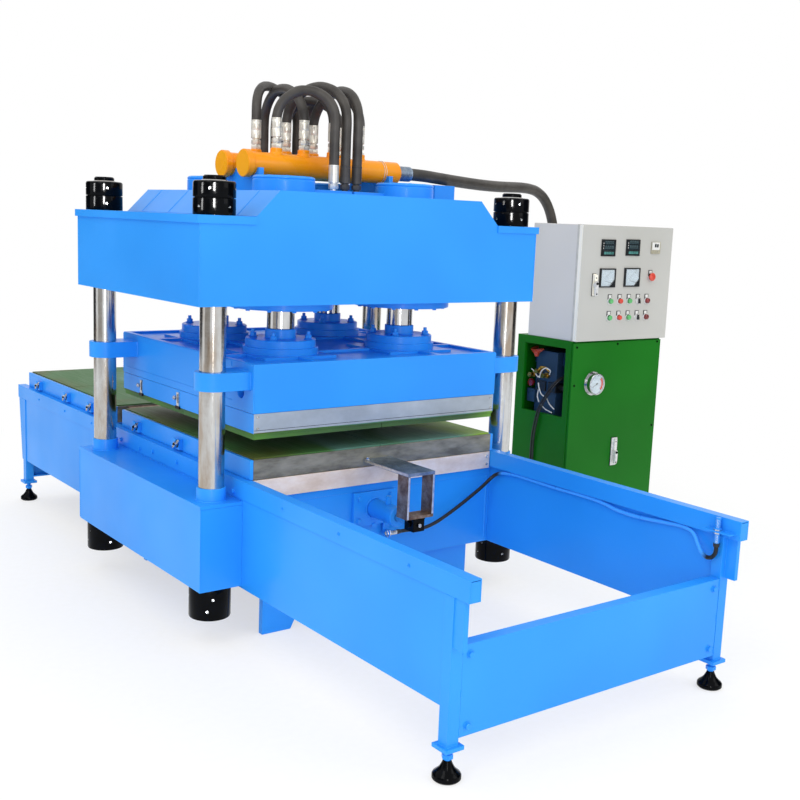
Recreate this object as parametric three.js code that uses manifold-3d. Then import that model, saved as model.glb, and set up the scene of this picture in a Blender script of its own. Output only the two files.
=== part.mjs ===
// Vulcanizing press for rubber tiles: a four column press with four hydraulic
// cylinders in its upper beam, two mould tables that slide through it on a bed,
// and a control cabinet with the hydraulic power unit beside it.
// Millimetres, +Z up. The origin is on the floor midway between the columns,
// +X runs along the bed to its loading end and +Y points to the cabinets.

import * as THREE from 'three';
import { mergeVertices } from 'three/addons/utils/BufferGeometryUtils.js';
import Module from 'manifold-3d';

const wasm = await Module();
wasm.setup();

// Clearances and cutting values
const gap = 0.3;
const overrun = 5;
const weldDistance = 0.001;
const roundSides = 20;
const smallSides = 10;
const fittingSides = 8;
const hexSides = 6;
const footSides = 12;
const buttonsInRow = 3;

// Floor and column grid
const grid = { x: 471, y: 665 };

const column = {
  radius: 45,
  lift: 99.7,
  nutRadius: 73.5,
  nutHeight: 115,
  nutEdge: 6,
  topNutRadius: 71.5,
  topNutHeight: 54.7,
  grooveRadius: 66,
  grooveHeight: 2,
  upperNutHeight: 55,
  topNutEdge: 4,
  stubRadius: 28,
  stubHeight: 19,
};

const baseBlock = {
  halfLength: 550,
  width: 161.7,
  height: 304,
  wall: 20,
  sleeveRadius: 51,
  sleeveHeight: 46,
  lipHeight: 12,
  lipDepth: 2,
};

// Bed: two side rails, end bars and feet
const rail = {
  inside: 548,
  tubeWidth: 40,
  tubeHeight: 64,
  tubeWall: 4,
  nearEnd: 1761,
  farEnd: 1812,
  webInset: 20,
  webThick: 16,
  webNearEnd: 1740,
  webStepEnd: 1699,
  webTaper: 35,
  bottom: 207,
};

const post = {
  side: 40,
  wall: 4,
  nearX: 1680,
  farX: 1731,
  bottom: 102,
  footSide: 64,
  footThick: 12,
};

const bar = { thick: 8, flange: 40, bottom: 120, top: 385, endX: 1699 };

const foot = {
  discRadius: 41,
  discHeight: 26,
  discEdge: 5,
  stemRadius: 10,
  stemTop: 150,
  nutRadius: 17,
  nutBottom: 60,
  nutHeight: 15,
};

// Press: lower beam, heating plates, platen and tables
const plateHalf = 553;

const lowerBeam = { halfLength: 535, height: 313, wall: 25, ribThick: 20 };

const leg = { thick: 25, inset: 21, halfWidth: 476, padWidth: 120, archHeight: 120, archInset: 60 };

const lowerPlate = { halfWidth: 545, thick: 67.7 };

const table = {
  halfWidth: 558,
  thick: 69.7,
  sheetThick: 5,
  sheetInset: 8,
  rise: 2,
  farNearEnd: -629,
  farFarEnd: -1735,
  lugLength: 30,
  lugWidth: 27,
  lugHeight: 45,
  lugBase: 5,
  linkBase: 10,
  linkHeight: 55,
  linkHalfWidth: 500,
};

const platen = {
  halfLength: 553,
  halfWidth: 550,
  low: 822,
  height: 171,
  deckWall: 22,
  wellDepth: 10,
  padHalf: 152,
  ribHalf: 14,
  discRadius: 141,
  discHeight: 25,
  upperDiscRadius: 132,
  upperDiscHeight: 29,
  collarRadius: 58,
  collarHeight: 35,
  studRing: 106,
  studHalf: 10,
  studHeight: 34,
  guideRadius: 62,
  guideLow: 81,
  guideHeight: 63,
  guideClear: 0.5,
};

const upperPlate = { halfWidth: 549, thick: 69.7, sheetThick: 21, sheetInset: 5 };

// Upper beam, cylinders and manifolds
const upperBeam = {
  halfLength: 535,
  halfWidth: 751,
  low: 1191,
  height: 300,
  crestHeight: 91,
  crestFoot: 540,
  crestTop: 450,
  deckDrop: 8,
  wall: 25,
  lipHeight: 27,
  lipReach: 5,
  lipWidth: 9,
  ribThick: 20,
  ribX: 120,
  ribY: 500,
  ventRadius: 20,
  ventY: 150,
  saddleHalf: 140,
  saddleThick: 20,
  saddleHeight: 98,
  saddleY: 300,
};

const cylinder = {
  x: 265,
  y: 277,
  radius: 115,
  top: 1640,
  edge: 8,
  bore: 92,
  capThick: 30,
  flangeRadius: 195,
  flangeThick: 30.7,
  headThick: 35,
  glandClear: 0.3,
  blockHalf: 20,
  blockHeight: 24,
  nippleRadius: 12,
  nippleHeight: 10,
  ferruleRadius: 19,
  ferruleTop: 1693,
  pistonClear: 0.3,
};

// Clamp lugs along a table's sides, as shares of half its length
const lugShares = [-0.66, 0.025, 0.56];

// Port places along Y
const ports = { first: -60, second: -8, third: 45, fourth: 97, fifth: 139 };
const portBlockEnds = { low: 14, high: 24 };

const rod = { radius: 52, pistonLow: 1300, pistonHeight: 50 };

const manifold = {
  x: 85,
  z: 1687,
  radius: 44.5,
  bore: 36,
  low: -350,
  high: 360,
  capRadius: 52,
  capLength: 26,
  bossRadius: 23,
  bossTop: 1750,
  nutRadius: 21,
  nutHeight: 26,
  ferruleRadius: 19,
  ferruleTop: 1855,
  portRadius: 8,
  endWall: 10,
  spoutRadius: 30,
  spoutLength: 14,
};
const frontFittings = [-206, -84, 50, 178];
const backFittings = [-199, -61, 67, 195];

// Push drive
const pushDrive = {
  y: -20,
  z: 424,
  radius: 37,
  bore: 30.3,
  low: -660,
  high: 700,
  glandLength: 30,
  capLength: 20,
  glandClear: 0.3,
  rodRadius: 16,
  pistonLength: 40,
  rodEnd: 769.7,
  flangeHalfY: 95,
  flangeHalfZ: 65,
  flangeThick: 14.7,
  mountClear: 0.3,
  boltRadius: 9,
  boltHeight: 9,
  boltInset: 22,
  portHeight: 30,
  portRadius: 11,
};

const homeSensor = { standOff: 20, z: 322, radius: 9, low: 24, high: 91, tongue: 26, thick: 5 };

const bracket = {
  high: 619,
  topThick: 12,
  far: 828,
  boxStart: 767,
  low: 450,
  wall: 10,
  yLow: -80,
  yHigh: 40,
  clevisHalf: 25,
  clevisLow: 400,
};

const endSensor = {
  x: 1685,
  y: 532,
  radius: 9,
  low: 495,
  high: 590,
  plateLow: 1640,
  plateHigh: 1745,
  plateInner: 515,
  plateBottom: 543,
  plateThick: 4,
};

// Cabinets
const powerBox = {
  low: -345,
  high: 36,
  yLow: 1510,
  yHigh: 2164,
  height: 944,
  wall: 20,
  windowLow: -290,
  windowHigh: 0,
  windowBottom: 560,
  windowInset: 39,
};

const powerDoor = {
  thick: 12,
  nearInset: 4,
  farInset: 4,
  low: 8,
  topInset: 8,
  gaugeRadius: 54,
  gaugeDepth: 34,
};
const gaugeShare = { across: 0.234, up: 0.778 };
const powerHandleShare = { across: 0.523, up: 0.375 };

const lever = {
  plateHalfY: 22,
  plateHalfZ: 62,
  plateThick: 6,
  gripHalfY: 11,
  gripLow: -52,
  gripHigh: 18,
  gripThick: 14,
  hubRadius: 12,
  hubHeight: 10,
};

const controlBox = {
  low: -280,
  high: 37,
  yLow: 1516,
  yHigh: 2180,
  top: 1512,
  wall: 15,
};

const controlDoor = { thick: 22 };

// Instruments on the control door, from the door's low Y edge and its top edge
const bezel = { thick: 8 };
const meterShares = [
  { across: [0.201, 0.35], down: [0.119, 0.263] },
  { across: [0.469, 0.619], down: [0.113, 0.255] },
  { across: [0.752, 0.853], down: [0.129, 0.234] },
  { across: [0.201, 0.369], down: [0.368, 0.532] },
  { across: [0.469, 0.64], down: [0.362, 0.527] },
];
const buttonRowShares = [0.653, 0.799];
const buttonColumnShares = [0.333, 0.44, 0.543, 0.645, 0.744];
const stopShare = { across: 0.769, down: 0.44 };
const handleShare = { across: 0.146, down: 0.51 };

const button = {
  holeRadius: 11.3,
  stemRadius: 11,
  stemLength: 26,
  capRadius: 14,
  capHeight: 10,
  lift: 6,
  lampHeight: 8,
};

const selector = {
  stemRadius: 10.6,
  discRadius: 14,
  discHeight: 6,
  gripHalfY: 4,
  gripHalfZ: 13,
  gripHeight: 12,
};

const stop = { mushroomRadius: 21, mushroomHeight: 15, lift: 8, neckRadius: 11 };

// Pump unit inside the power cabinet
const pump = {
  tankHeight: 300,
  tankMargin: 30,
  tankLift: 0.3,
  motorRadius: 85,
  motorNearInset: 250,
  motorFarInset: 90,
  motorHeight: 110,
  valveReach: 190,
  valveInset: 74,
  valveX: -250,
  valveWidth: 150,
};

// Rest for the main hose on the far end of the upper beam
const mainHoseRest = { x: 58, half: 45, low: 561, high: 668, top: 1650 };

// Flexible lines, each with the points of its route
const hose = { radius: 19, mainRadius: 25, cableRadius: 7 };
const hoseSides = 8;
const hoseSteps = 15;
const mainHoseSides = 8;
const mainHoseSteps = 24;
const cableSteps = 42;
const hoseRoutes = [
  [
    [85, -206, 1855.3], [85, -206, 1869], [89, -202, 1893], [102, -192, 1922], [122, -176, 1944],
    [147, -156, 1959], [175, -133, 1964], [203, -111, 1959], [228, -90, 1944], [248, -74, 1922],
    [261, -64, 1893], [265, -60, 1861], [265, -60, 1799], [265, -60, 1745], [265, -60, 1693.3],
  ],
  [
    [85, -84, 1855.3], [85, -84, 1869], [76, -85, 1902], [51, -86, 1939], [12, -87, 1968],
    [-37, -86, 1987], [-91, -84, 1993], [-145, -79, 1987], [-193, -72, 1968], [-232, -66, 1939],
    [-257, -62, 1902], [-265, -60, 1862], [-265, -60, 1800], [-265, -60, 1745], [-265, -60, 1693.3],
  ],
  [
    [85, 50, 1855.3], [85, 50, 1869], [77, 47, 1904], [52, 40, 1941], [14, 30, 1971], [-34, 19, 1990],
    [-88, 8, 1997], [-142, 1, 1990], [-191, -4, 1971], [-231, -7, 1941], [-256, -8, 1904],
    [-265, -8, 1862], [-265, -8, 1800], [-265, -8, 1745], [-265, -8, 1693.3],
  ],
  [
    [85, 178, 1855.3], [85, 178, 1869], [76, 177, 1903], [52, 174, 1940], [13, 169, 1969],
    [-36, 164, 1988], [-90, 158, 1995], [-144, 152, 1988], [-193, 146, 1969], [-232, 142, 1940],
    [-256, 140, 1903], [-265, 139, 1861], [-265, 139, 1799], [-265, 139, 1745], [-265, 139, 1693.3],
  ],
  [
    [-85, -199, 1855.3], [-85, -199, 1869], [-93, -194, 1925], [-114, -178, 1960], [-144, -151, 1987],
    [-178, -115, 2005], [-209, -72, 2011], [-233, -24, 2005], [-250, 23, 1987], [-259, 62, 1960],
    [-264, 88, 1925], [-265, 97, 1886], [-265, 97, 1812], [-265, 97, 1745], [-265, 97, 1693.3],
  ],
  [
    [-85, -61, 1855.3], [-85, -61, 1869], [-77, -59, 1904], [-52, -54, 1940], [-13, -46, 1969],
    [35, -37, 1987], [89, -28, 1994], [143, -21, 1987], [192, -15, 1969], [231, -11, 1940],
    [256, -9, 1904], [265, -8, 1863], [265, -8, 1800], [265, -8, 1745], [265, -8, 1693.3],
  ],
  [
    [-85, 67, 1855.3], [-85, 67, 1869], [-76, 68, 1900], [-51, 70, 1935], [-12, 72, 1963],
    [37, 72, 1980], [91, 70, 1986], [145, 65, 1980], [193, 59, 1963], [232, 52, 1935], [257, 47, 1900],
    [265, 45, 1861], [265, 45, 1799], [265, 45, 1745], [265, 45, 1693.3],
  ],
  [
    [-85, 195, 1855.3], [-85, 195, 1869], [-87, 188, 1893], [-93, 169, 1922], [-104, 142, 1945],
    [-122, 113, 1959], [-147, 86, 1965], [-177, 66, 1959], [-210, 54, 1945], [-238, 48, 1922],
    [-258, 45, 1893], [-265, 45, 1861], [-265, 45, 1799], [-265, 45, 1745], [-265, 45, 1693.3],
  ],
];
const mainHoseRoute = [
  [85, 374.3, 1687], [85, 440, 1687], [78, 520, 1685], [60, 600, 1681], [37, 700, 1676],
  [10, 800, 1672], [-18, 900, 1669], [-50, 1000, 1668], [-88, 1100, 1669], [-130, 1200, 1672],
  [-170, 1300, 1675], [-212, 1400, 1674], [-250, 1490, 1664], [-282, 1570, 1636], [-304, 1632, 1588],
  [-315, 1674, 1520], [-318, 1694, 1440], [-318, 1700, 1350], [-318, 1700, 1220], [-318, 1700, 1080],
  [-318, 1700, 944.3],
];
const cableRoute = [
  [570, 91.3, 322], [570, 120, 322], [570, 165, 318], [570, 210, 320], [570, 262, 332], [570, 320, 356],
  [570, 380, 385], [570, 440, 417], [571, 495, 449], [574, 532, 476], [586, 551, 496], [610, 558, 507],
  [678, 558, 517], [780, 558, 518], [927, 558, 516], [1065, 558, 518], [1155, 558, 515],
  [1242, 558, 503], [1345, 558, 503], [1462, 558, 513], [1530, 557, 517], [1575, 552, 508],
  [1602, 544, 482], [1624, 538, 458], [1646, 535, 447], [1668, 533, 451], [1682, 532, 466],
  [1685, 532, 481], [1685, 532, 494.7],
];

// Levels and places that follow from the sizes above
const blockLow = column.lift + column.nutHeight + gap;
const blockHigh = blockLow + baseBlock.height;
const blockInner = rail.inside + rail.webInset + rail.webThick + gap;
const blockOuter = blockInner + baseBlock.width;
const beamLow = rail.bottom;
const beamHigh = beamLow + lowerBeam.height;
const lowerPlateLow = beamHigh + gap;
const lowerPlateHigh = lowerPlateLow + lowerPlate.thick;
const tableLow = lowerPlateHigh + table.rise + gap;
const tableHigh = tableLow + table.thick;
const railHigh = tableLow - gap;
const railTubeLow = railHigh - rail.tubeHeight;
const platenHigh = platen.low + platen.height;
const discHigh = platenHigh + platen.discHeight;
const upperDiscHigh = discHigh + platen.upperDiscHeight;
const collarHigh = upperDiscHigh + platen.collarHeight;
const beamTop = upperBeam.low + upperBeam.height;
const crest = beamTop + upperBeam.crestHeight;
const deck = crest - upperBeam.deckDrop;
const flangeLow = upperBeam.low - gap - cylinder.flangeThick;
const doorX = controlBox.high + gap;
const doorFace = doorX + controlDoor.thick;
const doorWidth = controlBox.yHigh - controlBox.yLow;
const powerDoorX = powerBox.high + gap;
const powerDoorTop = powerBox.height - powerDoor.topInset;
const powerDoorSpan = [powerBox.yLow + powerDoor.nearInset, powerBox.yHigh - powerDoor.farInset];
const controlBoxLow = powerBox.height + gap;
const doorHeight = controlBox.top - controlBoxLow;

const press = new THREE.Group();

// Solids from three.js shapes

function toSolid(geometry) {
  const bare = geometry.clone();
  bare.deleteAttribute('normal');
  bare.deleteAttribute('uv');
  const welded = mergeVertices(bare, weldDistance);
  const corners = welded.index.array;
  const triangles = [];
  for (let i = 0; i < corners.length; i += 3) {
    const [a, b, c] = corners.subarray(i, i + 3);
    if (a !== b && b !== c && c !== a) triangles.push(a, b, c);
  }
  return new wasm.Manifold(new wasm.Mesh({
    numProp: 3,
    vertProperties: new Float32Array(welded.attributes.position.array),
    triVerts: new Uint32Array(triangles),
  }));
}

function joined(solids) {
  return solids.reduce((whole, next) => whole.add(next));
}

function cutBy(solid, cutters) {
  return cutters.reduce((left, cutter) => left.subtract(cutter), solid);
}

function block([x0, x1], [y0, y1], [z0, z1]) {
  const geometry = new THREE.BoxGeometry(x1 - x0, y1 - y0, z1 - z0);
  geometry.translate((x0 + x1) / 2, (y0 + y1) / 2, (z0 + z1) / 2);
  return toSolid(geometry);
}

// A round bar along one axis; its centre gives the other two coordinates in order
function drum(radius, [low, high], centre, axis = 'z', sides = roundSides) {
  const geometry = new THREE.CylinderGeometry(radius, radius, high - low, sides);
  const middle = (low + high) / 2;
  if (axis === 'x') {
    geometry.rotateZ(-Math.PI / 2);
    geometry.translate(middle, centre[0], centre[1]);
  } else if (axis === 'y') {
    geometry.translate(centre[0], middle, centre[1]);
  } else {
    geometry.rotateX(Math.PI / 2);
    geometry.translate(centre[0], centre[1], middle);
  }
  return toSolid(geometry);
}

// A shape turned about a vertical axis, from radius and height pairs
function turned(profile, [x, y], sides = roundSides) {
  const geometry = new THREE.LatheGeometry(profile.map(([r, z]) => new THREE.Vector2(r, z)), sides);
  geometry.rotateX(Math.PI / 2);
  geometry.translate(x, y, 0);
  return toSolid(geometry);
}

// An outline pushed along one axis; the outline lies in the other two, in order
function prism(outline, [low, high], axis = 'z') {
  const shape = new THREE.Shape(outline.map(([u, v]) => new THREE.Vector2(u, v)));
  const geometry = new THREE.ExtrudeGeometry(shape, { depth: high - low, bevelEnabled: false });
  const along = new THREE.Vector3(1, 0, 0);
  const across = new THREE.Vector3(0, 1, 0);
  const up = new THREE.Vector3(0, 0, 1);
  const basis = new THREE.Matrix4();
  if (axis === 'x') {
    basis.makeBasis(across, up, along).setPosition(low, 0, 0);
  } else if (axis === 'y') {
    basis.makeBasis(along, up, across.negate()).setPosition(0, high, 0);
  } else {
    basis.setPosition(0, 0, low);
  }
  geometry.applyMatrix4(basis);
  return toSolid(geometry);
}

function flexible(points, radius, sides, steps) {
  const path = new THREE.CatmullRomCurve3(points.map(([x, y, z]) => new THREE.Vector3(x, y, z)));
  const section = new THREE.Shape();
  for (let i = 0; i < sides; i += 1) {
    const angle = (i / sides) * 2 * Math.PI;
    const place = [radius * Math.cos(angle), radius * Math.sin(angle)];
    if (i === 0) section.moveTo(...place);
    else section.lineTo(...place);
  }
  return toSolid(new THREE.ExtrudeGeometry(section, { steps, extrudePath: path, bevelEnabled: false }));
}

function mirrorPairs(x, y) {
  return [[x, -y], [x, y], [-x, -y], [-x, y]];
}

// Finishes
const finish = {
  paint: { color: 0x3f9bf0, roughness: 0.4, metalness: 0 },
  green: { color: 0x2a7a2e, roughness: 0.45, metalness: 0 },
  orange: { color: 0xfa961e, roughness: 0.4, metalness: 0 },
  shell: { color: 0xd7d7d2, roughness: 0.5, metalness: 0 },
  black: { color: 0x15171a, roughness: 0.2, metalness: 0.3 },
  ground: { color: 0xa9a5a0, roughness: 0.25, metalness: 1 },
  raw: { color: 0x8a8580, roughness: 0.5, metalness: 0.9 },
  plate: { color: 0x9a9d9e, roughness: 0.5, metalness: 0.6 },
  sheet: { color: 0x4e785f, roughness: 0.55, metalness: 0.2 },
  rubber: { color: 0x3a3a3a, roughness: 0.7, metalness: 0 },
  signalRed: { color: 0xc22a22, roughness: 0.35, metalness: 0 },
  signalGreen: { color: 0x1f9a4a, roughness: 0.35, metalness: 0 },
};

function piece(name, solid, look, place = [0, 0, 0]) {
  const result = solid.getMesh();
  const geometry = new THREE.BufferGeometry();
  geometry.setAttribute('position', new THREE.BufferAttribute(result.vertProperties, 3));
  geometry.setIndex(new THREE.BufferAttribute(result.triVerts, 1));
  geometry.computeVertexNormals();
  const mesh = new THREE.Mesh(geometry, new THREE.MeshStandardMaterial(look));
  mesh.name = name;
  mesh.position.set(...place);
  press.add(mesh);
  return mesh;
}

// Columns with their bottom nuts and stacked top nuts

function columnSolid() {
  const low = column.lift;
  const nutTop = low + column.nutHeight;
  const seat = beamTop + gap;
  const groove = seat + column.topNutHeight;
  const second = groove + column.grooveHeight;
  const nutsTop = second + column.upperNutHeight;
  return turned([
    [0, low],
    [column.nutRadius - column.nutEdge, low],
    [column.nutRadius, low + column.nutEdge],
    [column.nutRadius, nutTop],
    [column.radius, nutTop],
    [column.radius, seat],
    [column.topNutRadius, seat],
    [column.topNutRadius, groove],
    [column.grooveRadius, groove],
    [column.grooveRadius, second],
    [column.topNutRadius, second],
    [column.topNutRadius, nutsTop - column.topNutEdge],
    [column.topNutRadius - column.topNutEdge, nutsTop],
    [column.stubRadius, nutsTop],
    [column.stubRadius, nutsTop + column.stubHeight],
    [0, nutsTop + column.stubHeight],
  ], [0, 0]);
}

mirrorPairs(grid.x, grid.y).forEach(([x, y], i) => {
  piece(`column_${i + 1}`, columnSolid(), finish.ground, [x, y, 0]);
});

// Base blocks under the columns, bolted to the outside of the rails

function baseBlockSolid(side) {
  const span = (low, high) => (side > 0 ? [low, high] : [-high, -low]);
  const outer = joined([
    block([-baseBlock.halfLength, baseBlock.halfLength], span(blockInner, blockOuter), [blockLow, blockHigh]),
    ...[-grid.x, grid.x].map((x) => drum(
      baseBlock.sleeveRadius,
      [blockHigh - overrun, blockHigh + baseBlock.sleeveHeight],
      [x, side * grid.y],
    )),
  ]);
  const inside = span(blockInner + baseBlock.wall, blockOuter - baseBlock.wall);
  const hollow = [blockLow + baseBlock.wall, blockHigh - baseBlock.wall];
  const reach = baseBlock.halfLength - baseBlock.wall;
  const ribs = [-1, 1].map((end) => end * (grid.x - column.nutRadius * 2));
  const half = baseBlock.wall / 2;
  const chambers = [
    [-reach, ribs[0] - baseBlock.wall],
    [ribs[0], -half],
    [half, ribs[1]],
    [ribs[1] + baseBlock.wall, reach],
  ];
  const edge = side > 0
    ? [blockOuter - baseBlock.lipDepth, blockOuter + overrun]
    : [-blockOuter - overrun, -blockOuter + baseBlock.lipDepth];
  const pipe = [ribs[0] - baseBlock.wall - overrun, ribs[1] + baseBlock.wall + overrun];
  return cutBy(outer, [
    ...chambers.map((chamber) => block(chamber, inside, hollow)),
    block(
      pipe,
      [inside[0] + baseBlock.wall, inside[1] - baseBlock.wall],
      [hollow[0] + baseBlock.wall * 2, hollow[1] - baseBlock.wall * 2],
    ),
    ...[-grid.x, grid.x].map((x) => drum(
      column.radius + gap,
      [blockLow - overrun, blockHigh + baseBlock.sleeveHeight + overrun],
      [x, side * grid.y],
    )),
    block(
      [-baseBlock.halfLength - overrun, baseBlock.halfLength + overrun],
      edge,
      [blockLow - overrun, blockHigh - baseBlock.lipHeight],
    ),
  ]);
}

piece('base_block_near', baseBlockSolid(-1), finish.paint);
piece('base_block_far', baseBlockSolid(1), finish.paint);

// Lower beam: a box open below, with ribs, and a leg plate at each end

function lowerBeamSolid() {
  const half = lowerBeam.halfLength;
  const width = rail.inside + rail.webInset - gap;
  const shell = block([-half, half], [-width, width], [beamLow, beamHigh]);
  const inner = half - lowerBeam.wall;
  const innerWidth = width - lowerBeam.wall;
  const ceiling = beamHigh - lowerBeam.wall;
  const ribs = [-cylinder.y, cylinder.y];
  const edges = [-innerWidth, ...ribs.flatMap((y) => [
    y - lowerBeam.ribThick / 2,
    y + lowerBeam.ribThick / 2,
  ]), innerWidth];
  const bays = [[edges[0], edges[1]], [edges[2], edges[3]], [edges[4], edges[5]]];
  const hollowed = cutBy(shell, bays.map((bay) => block([-inner, inner], bay, [beamLow - overrun, ceiling])));
  const legs = [-1, 1].map((end) => {
    const face = end * (half - leg.inset);
    const span = end > 0 ? [face - leg.thick, face] : [face, face + leg.thick];
    const outline = [
      [-leg.halfWidth, 0],
      [-leg.halfWidth + leg.padWidth, 0],
      [-leg.halfWidth + leg.padWidth + leg.archInset, leg.archHeight],
      [leg.halfWidth - leg.padWidth - leg.archInset, leg.archHeight],
      [leg.halfWidth - leg.padWidth, 0],
      [leg.halfWidth, 0],
      [leg.halfWidth, beamLow + overrun],
      [-leg.halfWidth, beamLow + overrun],
    ];
    return prism(outline, span, 'x');
  });
  const hole = drum(
    pushDrive.radius + pushDrive.mountClear,
    [-half - overrun, half + overrun],
    [pushDrive.y, pushDrive.z],
    'x',
  );
  return cutBy(joined([hollowed, ...legs]), [hole]);
}

piece('lower_beam', lowerBeamSolid(), finish.paint);
piece(
  'lower_heating_plate',
  block(
    [-plateHalf, plateHalf],
    [-lowerPlate.halfWidth, lowerPlate.halfWidth],
    [lowerPlateLow, lowerPlateHigh],
  ),
  finish.plate,
);

// Bed rails: a box tube on a web, with a hollow post and foot plate at each end

function railSolid(side) {
  const span = (low, high) => (side > 0 ? [low, high] : [-high, -low]);
  const outer = rail.inside + rail.tubeWidth;
  const tubeSpan = [-rail.farEnd, rail.nearEnd];
  const webSpan = span(rail.inside + rail.webInset, rail.inside + rail.webInset + rail.webThick);
  const lowWeb = [
    [-rail.farEnd + rail.webTaper, rail.bottom],
    [rail.webStepEnd, rail.bottom],
    [rail.webStepEnd, bar.top],
    [rail.webNearEnd, bar.top],
    [rail.webNearEnd, railTubeLow + overrun],
    [-rail.farEnd, railTubeLow + overrun],
  ];
  const posts = [post.nearX, -post.farX].map((x) => block(
    [x - post.side / 2, x + post.side / 2],
    span(rail.inside, outer),
    [post.bottom - overrun, railTubeLow + overrun],
  ));
  const middle = side * (rail.inside + rail.tubeWidth / 2);
  const plates = [post.nearX, -post.farX].map((x) => block(
    [x - post.footSide / 2, x + post.footSide / 2],
    [middle - post.footSide / 2, middle + post.footSide / 2],
    [post.bottom - post.footThick, post.bottom],
  ));
  const hollowTube = block(
    [-rail.farEnd - overrun, rail.nearEnd + overrun],
    span(rail.inside + rail.tubeWall, outer - rail.tubeWall),
    [railTubeLow + rail.tubeWall, railHigh - rail.tubeWall],
  );
  const hollowPosts = [post.nearX, -post.farX].map((x) => block(
    [x - post.side / 2 + post.wall, x + post.side / 2 - post.wall],
    span(rail.inside + post.wall, rail.inside + rail.webInset - post.wall),
    [post.bottom, railTubeLow - post.wall],
  ));
  const stems = [post.nearX, -post.farX].map((x) => drum(
    foot.stemRadius + gap,
    [post.bottom - post.footThick - overrun, foot.stemTop + overrun],
    [x, middle],
    'z',
    footSides,
  ));
  return cutBy(
    joined([
      block(tubeSpan, span(rail.inside, outer), [railTubeLow, railHigh]),
      prism(lowWeb, webSpan, 'y'),
      ...posts,
      ...plates,
    ]),
    [hollowTube, ...hollowPosts, ...stems],
  );
}

function endSensorSolid() {
  const plateTop = endSensor.plateBottom + endSensor.plateThick;
  return joined([
    block(
      [endSensor.plateLow, endSensor.plateHigh],
      [endSensor.plateInner, rail.inside + rail.tubeWall / 2],
      [endSensor.plateBottom, plateTop],
    ),
    drum(endSensor.radius, [endSensor.low, endSensor.high], [endSensor.x, endSensor.y], 'z', smallSides),
    drum(
      endSensor.radius + endSensor.plateThick,
      [plateTop, plateTop + endSensor.plateThick * 2],
      [endSensor.x, endSensor.y],
      'z',
      hexSides,
    ),
  ]);
}

piece('bed_rail_near', railSolid(-1), finish.paint);
piece('bed_rail_far', railSolid(1).add(endSensorSolid()), finish.paint);

// End bars: channels between the posts

function barSolid(end) {
  const face = end > 0 ? bar.endX : post.farX + (bar.endX - post.nearX);
  const span = (low, high) => (end > 0 ? [low, high] : [-high, -low]);
  const width = [-rail.inside + gap, rail.inside - gap];
  return joined([
    block(span(face - bar.thick, face), width, [bar.bottom, bar.top]),
    block(span(face - bar.flange, face), width, [bar.top - bar.thick, bar.top]),
    block(span(face - bar.flange, face), width, [bar.bottom, bar.bottom + bar.thick]),
  ]);
}

piece('bed_bar_front', barSolid(1), finish.paint);
piece('bed_bar_back', barSolid(-1), finish.paint);

// Levelling feet under the rail posts

function footSolid() {
  return joined([
    turned([
      [0, 0],
      [foot.discRadius, 0],
      [foot.discRadius, foot.discHeight - foot.discEdge],
      [foot.discRadius - foot.discEdge * 2, foot.discHeight],
      [foot.stemRadius, foot.discHeight + foot.discEdge],
      [foot.stemRadius, foot.stemTop],
      [0, foot.stemTop],
    ], [0, 0], footSides),
    drum(foot.nutRadius, [foot.nutBottom, foot.nutBottom + foot.nutHeight], [0, 0], 'z', hexSides),
  ]);
}

const footLine = rail.inside + rail.tubeWidth / 2;
const footPlaces = [post.nearX, -post.farX].flatMap((x) => [[x, -footLine], [x, footLine]]);
footPlaces.forEach(([x, y], i) => {
  piece(`levelling_foot_${i + 1}`, footSolid(), finish.black, [x, y, 0]);
});

// Mould tables: thick plates with clamp lugs along both sides and a sheet on top

function tableSolid([low, high]) {
  const middle = (low + high) / 2;
  const lugs = lugShares.flatMap((share) => [-1, 1].map((side) => {
    const x = middle + share * plateHalf;
    const y = side * (table.halfWidth + table.lugWidth / 2);
    return block(
      [x - table.lugLength / 2, x + table.lugLength / 2],
      [y - table.lugWidth / 2 - gap, y + table.lugWidth / 2],
      [tableLow + table.lugBase, tableLow + table.lugBase + table.lugHeight],
    );
  }));
  return joined([
    block([low, high], [-table.halfWidth, table.halfWidth], [tableLow, tableHigh]),
    block(
      [low + table.sheetInset, high - table.sheetInset],
      [-table.halfWidth + table.sheetInset * 2, table.halfWidth - table.sheetInset * 2],
      [tableHigh, tableHigh + table.sheetThick],
    ),
    ...lugs,
  ]);
}

const link = block(
  [table.farNearEnd - overrun, -plateHalf - gap],
  [-table.linkHalfWidth, table.linkHalfWidth],
  [tableLow + table.linkBase, tableLow + table.linkBase + table.linkHeight],
);
piece('mould_table_near', tableSolid([-plateHalf, plateHalf]), finish.sheet);
piece('mould_table_far', tableSolid([table.farFarEnd, table.farNearEnd]).add(link), finish.sheet);

// Pull bracket: a top plate and a box with a clevis, fixed to the near table

function bracketSolid() {
  const width = [bracket.yLow, bracket.yHigh];
  const under = bracket.high - bracket.topThick;
  return joined([
    block([plateHalf + gap, bracket.far], width, [under, bracket.high]),
    cutBy(block([bracket.boxStart, bracket.far], width, [bracket.low, bracket.high]), [
      block(
        [bracket.boxStart - overrun, bracket.far + overrun],
        [bracket.yLow + bracket.wall, bracket.yHigh - bracket.wall],
        [bracket.low + bracket.wall, under],
      ),
    ]),
    block(
      [pushDrive.rodEnd + gap, bracket.far - bracket.wall / 2],
      [pushDrive.y - bracket.clevisHalf, pushDrive.y + bracket.clevisHalf],
      [bracket.clevisLow, bracket.low + bracket.wall],
    ),
  ]);
}

piece('pull_bracket', bracketSolid(), finish.raw);

// Push cylinder with its flange plate, home sensor and port, and its rod

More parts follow.
